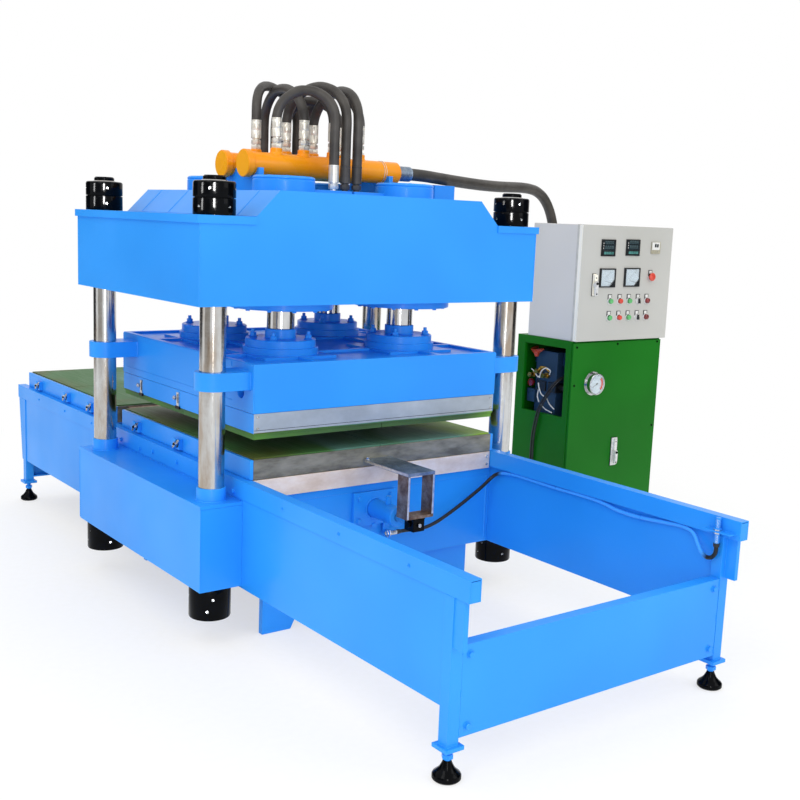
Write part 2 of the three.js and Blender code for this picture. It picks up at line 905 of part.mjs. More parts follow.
function pushCylinderSolid() {
  const centre = [pushDrive.y, pushDrive.z];
  const face = lowerBeam.halfLength + gap;
  const plate = [face, face + pushDrive.flangeThick];
  const halfY = pushDrive.flangeHalfY;
  const halfZ = pushDrive.flangeHalfZ;
  const inset = pushDrive.boltInset;
  const bolts = mirrorPairs(halfY - inset, halfZ - inset).map(([y, z]) => drum(
    pushDrive.boltRadius,
    [plate[1] - overrun, plate[1] + pushDrive.boltHeight],
    [pushDrive.y + y, pushDrive.z + z],
    'x',
    hexSides,
  ));
  const portX = pushDrive.high - pushDrive.glandLength - pushDrive.flangeHalfZ / 2;
  const sensorX = plate[1] + homeSensor.standOff;
  const sensorFace = sensorX + homeSensor.radius + homeSensor.thick;
  const body = joined([
    drum(pushDrive.radius, [pushDrive.low, pushDrive.high], centre, 'x'),
    block(
      plate,
      [pushDrive.y - halfY, pushDrive.y + halfY],
      [pushDrive.z - halfZ, pushDrive.z + halfZ],
    ),
    ...bolts,
    drum(
      pushDrive.portRadius,
      [pushDrive.z + pushDrive.bore + gap * 2, pushDrive.z + pushDrive.radius + pushDrive.portHeight],
      [portX, pushDrive.y],
      'z',
      hexSides,
    ),
    block(
      [plate[1] - homeSensor.thick, plate[1]],
      [homeSensor.low, homeSensor.low + homeSensor.tongue],
      [homeSensor.z - homeSensor.tongue / 2, pushDrive.z - halfZ + overrun],
    ),
    block(
      [plate[1] - homeSensor.thick, sensorFace],
      [homeSensor.low + homeSensor.thick, homeSensor.low + homeSensor.thick * 2],
      [homeSensor.z - homeSensor.tongue / 2, homeSensor.z + homeSensor.tongue / 2],
    ),
    drum(homeSensor.radius, [homeSensor.low, homeSensor.high], [sensorX, homeSensor.z], 'y', smallSides),
  ]);
  return cutBy(body, [
    drum(
      pushDrive.bore,
      [pushDrive.low + pushDrive.capLength, pushDrive.high - pushDrive.glandLength],
      centre,
      'x',
    ),
    drum(
      pushDrive.rodRadius + pushDrive.glandClear,
      [pushDrive.high - pushDrive.glandLength - overrun, pushDrive.high + overrun],
      centre,
      'x',
    ),
  ]);
}

function pushRodSolid() {
  const start = pushDrive.low + pushDrive.capLength + gap;
  return joined([
    drum(pushDrive.rodRadius, [start, pushDrive.rodEnd], [0, 0], 'x'),
    drum(pushDrive.bore - gap, [start, start + pushDrive.pistonLength], [0, 0], 'x'),
  ]);
}

piece('push_cylinder', pushCylinderSolid(), finish.paint);
piece('push_rod', pushRodSolid(), finish.ground, [0, pushDrive.y, pushDrive.z]);

// Upper platen with wells in its deck, four flange stacks and four column guides

function flangeStack([x, y]) {
  const discs = turned([
    [0, platenHigh - overrun],
    [platen.discRadius, platenHigh - overrun],
    [platen.discRadius, discHigh],
    [platen.upperDiscRadius, discHigh],
    [platen.upperDiscRadius, upperDiscHigh],
    [platen.collarRadius, upperDiscHigh],
    [platen.collarRadius, collarHigh],
    [0, collarHigh],
  ], [x, y]);
  const reach = platen.studRing * Math.SQRT1_2;
  const studs = mirrorPairs(reach, reach).map(([dx, dy]) => block(
    [x + dx - platen.studHalf, x + dx + platen.studHalf],
    [y + dy - platen.studHalf, y + dy + platen.studHalf],
    [upperDiscHigh - overrun, upperDiscHigh + platen.studHeight],
  ));
  return joined([discs, ...studs]);
}

function guide([x, y]) {
  const low = platen.low + platen.guideLow;
  const span = [low, low + platen.guideHeight];
  const width = y > 0 ? [platen.halfWidth - overrun, y] : [y, -platen.halfWidth + overrun];
  return joined([
    block([x - platen.guideRadius, x + platen.guideRadius], width, span),
    drum(platen.guideRadius, span, [x, y]),
  ]);
}

function platenSolid() {
  const innerX = platen.halfLength - platen.deckWall;
  const innerY = platen.halfWidth - platen.deckWall;
  const well = [platenHigh - platen.wellDepth, platenHigh + overrun];
  const raised = [platenHigh - platen.wellDepth - gap, platenHigh];
  const stacks = mirrorPairs(cylinder.x, cylinder.y);
  const body = cutBy(
    block(
      [-platen.halfLength, platen.halfLength],
      [-platen.halfWidth, platen.halfWidth],
      [platen.low, platenHigh],
    ),
    [block([-innerX, innerX], [-innerY, innerY], well)],
  );
  const pads = stacks.map(([x, y]) => block(
    [x - platen.padHalf, x + platen.padHalf],
    [y - platen.padHalf, y + platen.padHalf],
    raised,
  ));
  const ribs = [
    ...[-cylinder.y, cylinder.y].map((y) => block([-innerX - gap, innerX + gap],
      [y - platen.ribHalf, y + platen.ribHalf], raised)),
    ...[-cylinder.x, cylinder.x].map((x) => block([x - platen.ribHalf, x + platen.ribHalf],
      [-innerY - gap, innerY + gap], raised)),
  ];
  const guides = mirrorPairs(grid.x, grid.y);
  return cutBy(
    joined([body, ...pads, ...ribs, ...stacks.map(flangeStack), ...guides.map(guide)]),
    guides.map((place) => drum(
      column.radius + platen.guideClear,
      [platen.low, platenHigh],
      place,
    )),
  );
}

piece('upper_platen', platenSolid(), finish.paint);
const upperPlateLow = platen.low - gap - upperPlate.thick;
piece('upper_heating_plate', joined([
  block(
    [-plateHalf, plateHalf],
    [-upperPlate.halfWidth, upperPlate.halfWidth],
    [upperPlateLow, platen.low - gap],
  ),
  block(
    [-plateHalf + upperPlate.sheetInset, plateHalf - upperPlate.sheetInset],
    [-upperPlate.halfWidth + upperPlate.sheetInset, upperPlate.halfWidth - upperPlate.sheetInset],
    [upperPlateLow - upperPlate.sheetThick, upperPlateLow + gap],
  ),
]), finish.plate);

// Piston rods standing on the flange stacks, with their pistons in the cylinders

function rodSolid() {
  const pistonRadius = cylinder.bore - cylinder.pistonClear;
  return turned([
    [0, collarHigh + gap],
    [rod.radius, collarHigh + gap],
    [rod.radius, rod.pistonLow],
    [pistonRadius, rod.pistonLow],
    [pistonRadius, rod.pistonLow + rod.pistonHeight],
    [0, rod.pistonLow + rod.pistonHeight],
  ], [0, 0]);
}

// Hydraulic cylinders hanging in the upper beam, each with a port block and nipples

function cylinderSolid([x, y]) {
  const barrel = cutBy(turned([
    [0, flangeLow],
    [cylinder.flangeRadius, flangeLow],
    [cylinder.flangeRadius, flangeLow + cylinder.flangeThick],
    [cylinder.radius, flangeLow + cylinder.flangeThick],
    [cylinder.radius, cylinder.top - cylinder.edge],
    [cylinder.radius - cylinder.edge, cylinder.top],
    [0, cylinder.top],
  ], [x, y]), [
    drum(cylinder.bore, [flangeLow + cylinder.headThick, cylinder.top - cylinder.capThick], [x, y]),
    drum(
      rod.radius + cylinder.glandClear,
      [flangeLow - overrun, flangeLow + cylinder.headThick + overrun],
      [x, y],
    ),
  ]);
  const farPlaces = x < 0 ? [ports.third, ports.fourth, ports.fifth] : [ports.third];
  const places = y < 0 ? [ports.first, ports.second] : farPlaces;
  const edge = cylinder.y - cylinder.radius + overrun;
  const blockSpan = y < 0 ? [-edge, portBlockEnds.low] : [portBlockEnds.high, edge];
  const low = deck + gap;
  const high = low + cylinder.blockHeight;
  return joined([
    barrel,
    block([x - cylinder.blockHalf, x + cylinder.blockHalf], blockSpan, [low, high]),
    ...places.map((place) => turned([
      [0, high - gap],
      [cylinder.nippleRadius, high - gap],
      [cylinder.nippleRadius, high + cylinder.nippleHeight],
      [cylinder.ferruleRadius, high + cylinder.nippleHeight],
      [cylinder.ferruleRadius, cylinder.ferruleTop],
      [0, cylinder.ferruleTop],
    ], [x, place], fittingSides)),
  ]);
}

mirrorPairs(cylinder.x, cylinder.y).forEach((place, i) => {
  piece(`cylinder_barrel_${i + 1}`, cylinderSolid(place), finish.paint);
  piece(`piston_rod_${i + 1}`, rodSolid(), finish.ground, [...place, 0]);
});

// Upper beam: a box with crest plates, ribs, bores, end lips and pipe saddles

function upperBeamSolid() {
  const half = upperBeam.halfLength;
  const width = upperBeam.halfWidth;
  const reach = half + upperBeam.lipReach;
  const inner = half - upperBeam.wall;
  const floor = upperBeam.low + upperBeam.wall;
  const outline = [
    [-width, upperBeam.low],
    [width, upperBeam.low],
    [width, beamTop],
    [upperBeam.crestFoot, beamTop],
    [upperBeam.crestTop, crest],
    [-upperBeam.crestTop, crest],
    [-upperBeam.crestFoot, beamTop],
    [-width, beamTop],
  ];
  const lips = [-1, 1].map((side) => {
    const ends = [side * upperBeam.crestFoot, side * (width + upperBeam.lipWidth)];
    return block(
      [-reach, reach],
      [Math.min(...ends), Math.max(...ends)],
      [beamTop - upperBeam.lipHeight, beamTop],
    );
  });
  const saddles = [-upperBeam.saddleY, upperBeam.saddleY].map((y) => block(
    [-upperBeam.saddleHalf, upperBeam.saddleHalf],
    [y - upperBeam.saddleThick / 2, y + upperBeam.saddleThick / 2],
    [deck - overrun, deck + upperBeam.saddleHeight],
  ));
  const rest = block(
    [mainHoseRest.x - mainHoseRest.half, mainHoseRest.x + mainHoseRest.half],
    [mainHoseRest.low, mainHoseRest.high],
    [beamTop - overrun, mainHoseRest.top],
  );
  const cell = upperBeam.ribX + upperBeam.ribThick / 2;
  const core = upperBeam.ribX - upperBeam.ribThick / 2;
  const fromRib = upperBeam.ribThick / 2;
  const toSlope = upperBeam.crestTop - upperBeam.ribThick;
  const toRib = upperBeam.ribY - fromRib;
  const spansX = [[-inner, -cell], [-core, core], [cell, inner]];
  const chambers = spansX.flatMap((spanX) => [-1, 1].flatMap((side) => {
    const along = (far) => (side > 0 ? [fromRib, far] : [-far, -fromRib]);
    return [
      block(spanX, along(toSlope), [floor, deck - upperBeam.wall]),
      block(spanX, along(toRib), [floor, beamTop - upperBeam.wall]),
    ];
  }));
  const ends = [-1, 1].map((side) => {
    const far = width - upperBeam.wall;
    const near = upperBeam.ribY + fromRib;
    const spanY = side > 0 ? [near, far] : [-far, -near];
    return block([-inner, inner], spanY, [floor, beamTop - upperBeam.lipHeight]);
  });
  const through = [upperBeam.low - overrun, crest + overrun];
  return cutBy(joined([prism(outline, [-half, half], 'x'), ...lips]), [
    block([-inner, inner], [-upperBeam.crestTop, upperBeam.crestTop], [deck, crest + overrun]),
    ...chambers,
    ...ends,
    ...mirrorPairs(cylinder.x, cylinder.y).map((place) => drum(cylinder.radius + gap, through, place)),
    ...mirrorPairs(grid.x, grid.y).map((place) => drum(column.radius + gap, through, place)),
    ...[-upperBeam.ventY, upperBeam.ventY].map((y) => drum(
      upperBeam.ventRadius,
      [deck - upperBeam.wall - overrun, deck + overrun],
      [0, y],
      'z',
      smallSides,
    )),
  ]).add(rest).add(cutBy(joined(saddles), [-manifold.x, manifold.x].map((x) => drum(
    manifold.radius + gap,
    [-upperBeam.saddleY - upperBeam.saddleThick, upperBeam.saddleY + upperBeam.saddleThick],
    [x, manifold.z],
    'y',
  ))));
}

piece('upper_beam', upperBeamSolid(), finish.paint);

// Manifolds: pipes along Y with stepped caps and a row of hose fittings on top

function manifoldSolid(x, fittings, hasSpout) {
  const centre = [x, manifold.z];
  const cap = manifold.capLength;
  const fitting = (y) => turned([
    [0, manifold.z + manifold.bore],
    [manifold.bossRadius, manifold.z + manifold.bore],
    [manifold.bossRadius, manifold.bossTop],
    [manifold.nutRadius, manifold.bossTop],
    [manifold.nutRadius, manifold.bossTop + manifold.nutHeight],
    [manifold.ferruleRadius, manifold.bossTop + manifold.nutHeight],
    [manifold.ferruleRadius, manifold.ferruleTop],
    [0, manifold.ferruleTop],
  ], [x, y], fittingSides);
  const end = hasSpout
    ? drum(manifold.spoutRadius, [manifold.high - overrun, manifold.high + manifold.spoutLength], centre, 'y')
    : drum(manifold.capRadius, [manifold.high - cap, manifold.high], centre, 'y');
  const body = joined([
    drum(manifold.radius, [manifold.low, manifold.high], centre, 'y'),
    drum(manifold.capRadius, [manifold.low, manifold.low + cap], centre, 'y'),
    end,
    ...fittings.map(fitting),
  ]);
  return cutBy(body, [
    drum(
      manifold.bore,
      [manifold.low + manifold.endWall, manifold.high - manifold.endWall],
      centre,
      'y',
      smallSides,
    ),
    ...fittings.map((y) => drum(
      manifold.portRadius,
      [manifold.z, manifold.ferruleTop + overrun],
      [x, y],
      'z',
      fittingSides,
    )),
  ]);
}

piece('manifold_front', manifoldSolid(manifold.x, frontFittings, true), finish.orange);
piece('manifold_back', manifoldSolid(-manifold.x, backFittings, false), finish.orange);

// Flexible lines

hoseRoutes.forEach((route, i) => {
  piece(`hose_${i + 1}`, flexible(route, hose.radius, hoseSides, hoseSteps), finish.rubber);
});
piece('main_hose', flexible(mainHoseRoute, hose.mainRadius, mainHoseSides, mainHoseSteps), finish.rubber);
piece('sensor_cable', flexible(cableRoute, hose.cableRadius, hoseSides, cableSteps), finish.rubber);

// Power cabinet: a shell with a window in its side and a door in its front

function powerCabinetSolid() {
  const wall = powerBox.wall;
  return cutBy(block([powerBox.low, powerBox.high], [powerBox.yLow, powerBox.yHigh], [0, powerBox.height]), [
    block(
      [powerBox.low + wall, powerBox.high - wall],
      [powerBox.yLow + wall, powerBox.yHigh - wall],
      [wall, powerBox.height - wall],
    ),
    block(
      [powerBox.windowLow, powerBox.windowHigh],
      [powerBox.yLow - overrun, powerBox.yLow + wall + overrun],
      [powerBox.windowBottom, powerBox.height - powerBox.windowInset],
    ),
    block(
      [powerBox.high - wall - overrun, powerBox.high + overrun],
      [powerDoorSpan[0] + wall, powerDoorSpan[1] - wall],
      [powerDoor.low + wall, powerDoorTop - wall],
    ),
  ]);
}

function onPowerDoor({ across, up }) {
  return [
    powerDoorSpan[0] + across * (powerDoorSpan[1] - powerDoorSpan[0]),
    powerDoor.low + up * (powerDoorTop - powerDoor.low),
  ];
}

const powerHandlePlace = onPowerDoor(powerHandleShare);

function powerDoorSolid() {
  const front = powerDoorX + powerDoor.thick;
  return joined([
    block([powerDoorX, front], powerDoorSpan, [powerDoor.low, powerDoorTop]),
    drum(
      powerDoor.gaugeRadius,
      [front - gap, front + powerDoor.gaugeDepth],
      onPowerDoor(gaugeShare),
      'x',
    ),
    block(
      [front - gap, front + lever.plateThick],
      [powerHandlePlace[0] - lever.plateHalfY, powerHandlePlace[0] + lever.plateHalfY],
      [powerHandlePlace[1] - lever.plateHalfZ, powerHandlePlace[1] + lever.plateHalfZ],
    ),
  ]);
}

function leverSolid() {
  const back = lever.hubHeight;
  return joined([
    drum(lever.hubRadius, [0, back + overrun], [0, 0], 'x', smallSides),
    block(
      [back, back + lever.gripThick],
      [-lever.gripHalfY, lever.gripHalfY],
      [lever.gripLow, lever.gripHigh],
    ),
  ]);
}

// Pump unit: a tank with a motor on top and a valve block behind the window

function pumpSolid() {
  const wall = powerBox.wall;
  const margin = wall + pump.tankMargin;
  const low = wall + pump.tankLift;
  const top = low + pump.tankHeight;
  const centre = (powerBox.low + powerBox.high) / 2;
  const motor = [powerBox.yLow + pump.motorNearInset, powerBox.yHigh - pump.motorFarInset];
  return joined([
    block(
      [powerBox.low + margin, powerBox.high - margin],
      [powerBox.yLow + margin, powerBox.yHigh - margin],
      [low, top],
    ),
    drum(pump.motorRadius, motor, [centre, top + pump.motorHeight], 'y'),
    block(
      [centre - pump.motorRadius, centre + pump.motorRadius],
      [motor[0] + overrun, motor[1] - overrun],
      [top - gap, top + pump.motorHeight / 2],
    ),
    block(
      [pump.valveX, pump.valveX + pump.valveWidth],
      [powerBox.yLow + margin + gap, powerBox.yLow + pump.valveReach],
      [top - gap, powerBox.height - pump.valveInset],
    ),
  ]);
}

piece('power_cabinet', powerCabinetSolid(), finish.green);
piece('power_door', powerDoorSolid(), finish.green);
piece('pump_unit', pumpSolid(), finish.paint);
piece('power_door_handle', leverSolid(), finish.black, [
  powerDoorX + powerDoor.thick + lever.plateThick + gap,
  ...powerHandlePlace,
]);

// Control box with its door, instruments, buttons and selectors

function controlBoxSolid() {
  const wall = controlBox.wall;
  return cutBy(
    block(
      [controlBox.low, controlBox.high],
      [controlBox.yLow, controlBox.yHigh],
      [controlBoxLow, controlBox.top],
    ),
    [block(
      [controlBox.low + wall, controlBox.high + overrun],
      [controlBox.yLow + wall, controlBox.yHigh - wall],
      [controlBoxLow + wall, controlBox.top - wall],
    )],
  );
}

function onDoor(across, down) {
  return [controlBox.yLow + across * doorWidth, controlBox.top - down * doorHeight];
}

const buttonPlaces = buttonRowShares.map((down) => buttonColumnShares.map((across) => onDoor(across, down)));
const stopPlace = onDoor(stopShare.across, stopShare.down);
const handlePlace = onDoor(handleShare.across, handleShare.down);

function controlDoorSolid() {
  const bezels = meterShares.map(({ across, down }) => {
    const [y0, z1] = onDoor(across[0], down[0]);
    const [y1, z0] = onDoor(across[1], down[1]);
    return block([doorFace - gap, doorFace + bezel.thick], [y0, y1], [z0, z1]);
  });
  const lamps = buttonPlaces.map((row) => drum(
    button.capRadius,
    [doorFace - gap, doorFace + button.lampHeight],
    row[row.length - 1],
    'x',
    smallSides,
  ));
  const holes = [stopPlace, ...buttonPlaces.flatMap((row) => row.slice(0, -1))].map((place) => drum(
    button.holeRadius,
    [doorX - overrun, doorFace + overrun],
    place,
    'x',
    smallSides,
  ));
  const keyPlate = block(
    [doorFace - gap, doorFace + lever.plateThick],
    [handlePlace[0] - lever.plateHalfY, handlePlace[0] + lever.plateHalfY],
    [handlePlace[1] - lever.plateHalfZ, handlePlace[1] + lever.plateHalfZ],
  );
  const plate = block(
    [doorX, doorFace],
    [controlBox.yLow, controlBox.yHigh],
    [controlBoxLow, controlBox.top],
  );
  return cutBy(joined([plate, keyPlate, ...bezels, ...lamps]), holes);
}

function buttonSolid() {
  return joined([
    drum(
      button.stemRadius,
      [button.lift - button.stemLength, button.lift + overrun],
      [0, 0],
      'x',
      smallSides,
    ),
    drum(button.capRadius, [button.lift, button.lift + button.capHeight], [0, 0], 'x', smallSides),
  ]);
}

function selectorSolid() {
  const top = gap + selector.discHeight;
  return joined([
    drum(selector.stemRadius, [button.lift - button.stemLength, top], [0, 0], 'x', smallSides),
    drum(selector.discRadius, [gap, top], [0, 0], 'x', smallSides),
    block(
      [top - gap, top + selector.gripHeight],
      [-selector.gripHalfY, selector.gripHalfY],
      [-selector.gripHalfZ, selector.gripHalfZ],
    ),
  ]);
}

function stopSolid() {
  return joined([
    drum(stop.neckRadius, [button.lift - button.stemLength, stop.lift + overrun], [0, 0], 'x', smallSides),
    drum(stop.mushroomRadius, [stop.lift, stop.lift + stop.mushroomHeight], [0, 0], 'x', smallSides),
  ]);
}

piece('control_box', controlBoxSolid(), finish.shell);
piece('control_door', controlDoorSolid(), finish.shell);
piece('control_door_handle', leverSolid(), finish.black, [doorFace + lever.plateThick + gap, ...handlePlace]);
piece('emergency_stop', stopSolid(), finish.signalRed, [doorFace, ...stopPlace]);
buttonPlaces.forEach((row, r) => {
  row.slice(0, buttonsInRow).forEach((place, i) => {
    const look = i === 1 ? finish.signalRed : finish.signalGreen;
    piece(`push_button_${r * buttonsInRow + i + 1}`, buttonSolid(), look, [doorFace, ...place]);
  });
  piece(`selector_${r + 1}`, selectorSolid(), finish.black, [doorFace, ...row[buttonsInRow]]);
});

export default press;
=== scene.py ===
"""Dress the rubber tile press: finishes, fittings, hoses, floor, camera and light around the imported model."""
import logging
import math
from dataclasses import dataclass, field
from enum import Enum
from typing import Any, Sequence

import bmesh
import bpy
from mathutils import Matrix, Vector


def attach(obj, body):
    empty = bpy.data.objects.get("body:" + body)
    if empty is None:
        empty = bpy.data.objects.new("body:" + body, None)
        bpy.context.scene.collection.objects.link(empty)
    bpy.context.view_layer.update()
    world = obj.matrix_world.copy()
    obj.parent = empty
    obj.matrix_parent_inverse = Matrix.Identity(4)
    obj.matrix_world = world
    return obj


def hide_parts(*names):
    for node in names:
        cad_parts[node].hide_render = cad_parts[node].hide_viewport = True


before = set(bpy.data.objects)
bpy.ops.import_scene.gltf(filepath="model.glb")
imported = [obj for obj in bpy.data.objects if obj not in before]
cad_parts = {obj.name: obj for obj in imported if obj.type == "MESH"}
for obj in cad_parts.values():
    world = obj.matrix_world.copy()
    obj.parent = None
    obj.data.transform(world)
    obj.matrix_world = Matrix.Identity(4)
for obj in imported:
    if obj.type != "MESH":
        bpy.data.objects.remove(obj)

logging.basicConfig(level=logging.INFO, format="%(message)s")
LOG = logging.getLogger("press")
MM = 0.001
# Blender's noise lies mostly between these two values
PATTERN_LOW, PATTERN_HIGH = 0.3, 0.7
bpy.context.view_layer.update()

Span = tuple[float, float]
Point = tuple[float, float, float]
Stop = tuple[float, str]
Outline = Sequence[Span]
Socket = bpy.types.NodeSocket
X: Point = (1, 0, 0)
Y: Point = (0, 1, 0)
Z: Point = (0, 0, 1)


class Body(Enum):
    """Moving bodies of the press that pieces ride on."""

    FRAME = "frame"
    PLATEN = "platen"
    SHUTTLE = "shuttle"
    CONTROL_DOOR = "control_door"
    CONTROL_HANDLE = "control_door_handle"
    POWER_DOOR = "power_door"
    POWER_HANDLE = "power_door_handle"
    STOP = "emergency_stop"


# Colour and shader nodes


def linear(code: str) -> tuple[float, float, float, float]:
    """Turn an sRGB hex colour into linear values.

    Args:
        code: six hex digits after a hash.

    Returns:
        Red, green, blue and an opaque alpha.
    """
    parts = [int(code[i:i + 2], 16) / 255 for i in (1, 3, 5)]
    r, g, b = [p / 12.92 if p <= 0.04045 else ((p + 0.055) / 1.055) ** 2.4 for p in parts]
    return (r, g, b, 1)


def add(tree: bpy.types.NodeTree, kind: str, settings: dict | None = None,
        links: dict | None = None) -> bpy.types.Node:
    """Add one node with its settings and links.

    Args:
        tree: node tree that takes the node.
        kind: Blender's type name of the node.
        settings: socket defaults, node properties, or "stops" for a colour ramp.
        links: socket name or index to the output that feeds it.

    Returns:
        The new node.
    """
    node = tree.nodes.new(kind)
    for key, value in (settings or {}).items():
        if key == "stops":
            ramp = node.color_ramp
            while len(ramp.elements) < len(value):
                ramp.elements.new(0.5)
            for element, (place, code) in zip(ramp.elements, value):
                element.position = place
                element.color = linear(code)
        elif isinstance(key, int) or key in node.inputs:
            node.inputs[key].default_value = value
        else:
            setattr(node, key, value)
    for key, socket in (links or {}).items():
        tree.links.new(socket, node.inputs[key])
    return node


def per_metre(size: float | Sequence[float]) -> Any:
    """Give the texture scale whose features measure this many millimetres.

    Args:
        size: one size, or one for each axis.

    Returns:
        A number, or a tuple of three.
    """
    if isinstance(size, (int, float)):
        return 1 / (size * MM)
    return tuple(1 / (part * MM) for part in size)


@dataclass
class Shader:
    """One material's node tree, the sockets of its Principled shader and the place on the piece."""

    tree: bpy.types.NodeTree
    sockets: Any
    place: Socket

    def drive(self, tone: Socket, stops: Sequence[Stop], wear: Socket, rough: Span, texture: Socket,
              relief: Span) -> None:
        """Let three patterns drive the colour, the roughness and the relief.

        Args:
            tone: pattern that chooses the colour.
            stops: places and hex colours along it.
            wear: pattern that dulls or polishes.
            rough: least and greatest roughness.
            texture: pattern that raises the surface.
            relief: strength of the relief, 0 for none, and its depth in metres.
        """
        ramp = add(self.tree, "ShaderNodeValToRGB", {"stops": stops}, {"Fac": tone})
        rub = add(self.tree, "ShaderNodeMapRange", {
            "From Min": PATTERN_LOW, "From Max": PATTERN_HIGH, "To Min": rough[0], "To Max": rough[1],
        }, {"Value": wear})
        self.tree.links.new(ramp.outputs["Color"], self.sockets["Base Color"])
        self.tree.links.new(rub.outputs["Result"], self.sockets["Roughness"])
        if relief[0]:
            bump = add(self.tree, "ShaderNodeBump", {"Strength": relief[0], "Distance": relief[1]},
                       {"Height": texture})
            self.tree.links.new(bump.outputs["Normal"], self.sockets["Normal"])

    def set(self, values: dict[str, Any]) -> None:
        """Set constants on the shader's own sockets."""
        for name, value in values.items():
            self.sockets[name].default_value = value


@dataclass(frozen=True)
class Finish:
    """A surface finish: what the real one is and how it was made."""

    name: str
    slot: str

    def material(self) -> bpy.types.Material:
        """Give the material of this finish, made once.

        Returns:
            A material with procedural nodes.
        """
        made = bpy.data.materials.get(self.name)
        if made is None:
            made = bpy.data.materials.new(self.name)
            made.use_nodes = True
            tree = made.node_tree
            place = add(tree, "ShaderNodeTexCoord").outputs["Object"]
            self.wire(Shader(tree, tree.nodes["Principled BSDF"].inputs, place))
        return made

    def wire(self, shader: Shader) -> None:
        """Set the shader's sockets and link its patterns."""
        raise NotImplementedError


@dataclass(frozen=True)
class Enamel(Finish):
    """Sprayed machine enamel: film of even colour with orange peel and a soft gloss."""

    colour: str
    shade: str
    light: str
    roughness: float = 0.34
    patch: float = 700
    peel: float = 9
    coat: float = 0.1
    specular: float = 0.23

    def wire(self, shader: Shader) -> None:
        """Tone the film in wide clouds of its thickness, dull it in finer ones and raise the peel.

        Args:
            shader: shader that takes the finish.
        """
        where = {"Vector": shader.place}
        cloud = add(shader.tree, "ShaderNodeTexNoise", {"Scale": per_metre(self.patch), "Detail": 2}, where)
        haze = add(shader.tree, "ShaderNodeTexNoise", {"Scale": per_metre(self.patch / 3), "Detail": 2},
                   where)
        # Real orange peel is 2 to 3 mm wide; it is drawn three times as coarse so that it shows from here
        peel = add(shader.tree, "ShaderNodeTexNoise", {"Scale": per_metre(self.peel), "Detail": 1}, where)
        stops = ((0.32, self.shade), (0.5, self.colour), (0.68, self.light))
        rough = (self.roughness - 0.05, self.roughness + 0.08)
        shader.drive(cloud.outputs["Fac"], stops, haze.outputs["Fac"], rough, peel.outputs["Fac"],
                     (0.14, 0.0006))
        shader.set({"IOR": 1.5, "Specular IOR Level": self.specular, "Coat Weight": self.coat,
                    "Coat Roughness": 0.12})


@dataclass(frozen=True)
class Steel(Finish):
    """Bare metal: stains over the base tone and tool marks in one direction."""

    dark: str
    colour: str
    light: str
    roughness: float = 0.3
    spread: float = 0.12
    stain: tuple[float, float, float] = (60, 60, 60)
    grain: tuple[float, float, float] = (2, 2, 2)
    metallic: float = 1
    relief: float = 0.15
    depth: float = 0.0004
    bounds: Span = (0.34, 0.66)
    smoothest: float = 0.04

    def wire(self, shader: Shader) -> None:
        """Let stains choose the tone, and the grain the roughness and the relief.

        Args:
            shader: shader that takes the finish.
        """
        found = []
        for sizes, settings in ((self.stain, {"Detail": 4, "Roughness": 0.6}), (self.grain, {"Detail": 2})):
            spots = add(shader.tree, "ShaderNodeMapping", {"Scale": per_metre(sizes)},
                        {"Vector": shader.place})
            found.append(add(shader.tree, "ShaderNodeTexNoise", {"Scale": 1, **settings},
                             {"Vector": spots.outputs["Vector"]}).outputs["Fac"])
        stains, lines = found
        low, high = self.bounds
        stops = ((low, self.dark), ((low + high) / 2, self.colour), (high, self.light))
        rough = (max(self.smoothest, self.roughness - self.spread), self.roughness + self.spread)
        shader.drive(stains, stops, lines, rough, lines, (self.relief, self.depth))
        shader.set({"Metallic": self.metallic})


@dataclass(frozen=True)
class Moulded(Finish):
    """Moulded plastic or rubber: one body colour, fine mould texture, an even sheen."""

    colour: str
    shade: str
    roughness: float = 0.35
    texture: float = 3
    relief: float = 0.1
    coat: float = 0
    specular: float = 0.5
    smoothest: float = 0.05

    def wire(self, shader: Shader) -> None:
        """Change the tone a little in clouds, and let the mould's texture set sheen and relief.

        Args:
            shader: shader that takes the finish.
        """
        where = {"Vector": shader.place}
        cloud = add(shader.tree, "ShaderNodeTexNoise", {"Scale": per_metre(self.texture * 12), "Detail": 3},
                    where)
        grit = add(shader.tree, "ShaderNodeTexNoise", {"Scale": per_metre(self.texture), "Detail": 2}, where)
        rough = (max(self.smoothest, self.roughness - 0.08), self.roughness + 0.08)
        shader.drive(cloud.outputs["Fac"], ((0.35, self.shade), (0.65, self.colour)), grit.outputs["Fac"],
                     rough, grit.outputs["Fac"], (self.relief, 0.0004))
        shader.set({"IOR": 1.5, "Specular IOR Level": self.specular, "Coat Weight": self.coat,
                    "Coat Roughness": 0.08})


@dataclass(frozen=True)
class SprayedSheath(Finish):
    """Black cable sheath that has caught the frame's enamel where it lies along the rail."""

    sheath: str
    paint: str
    low: float
    high: float
    fade: float = 30
    texture: float = 3

    def wire(self, shader: Shader) -> None:
        """Put paint between two places along X with a soft spray edge, over the sheath's fine texture.

        Args:
            shader: shader that takes the finish.
        """
        along = add(shader.tree, "ShaderNodeSeparateXYZ", {}, {0: shader.place}).outputs["X"]
        edges = [add(shader.tree, "ShaderNodeMapRange", {
            "From Min": (at - way * self.fade) * MM, "From Max": (at + way * self.fade) * MM,
        }, {"Value": along}).outputs["Result"] for at, way in ((self.low, 1), (self.high, -1))]
        inside = add(shader.tree, "ShaderNodeMath", {"operation": "MULTIPLY"}, {0: edges[0], 1: edges[1]})
        grit = add(shader.tree, "ShaderNodeTexNoise", {"Scale": per_metre(self.texture), "Detail": 2},
                   {"Vector": shader.place})
        shader.drive(inside.outputs[0], ((0.3, self.sheath), (0.7, self.paint)), grit.outputs["Fac"],
                     (0.3, 0.46), grit.outputs["Fac"], (0, 0.0004))
        shader.set({"Specular IOR Level": 0.3})


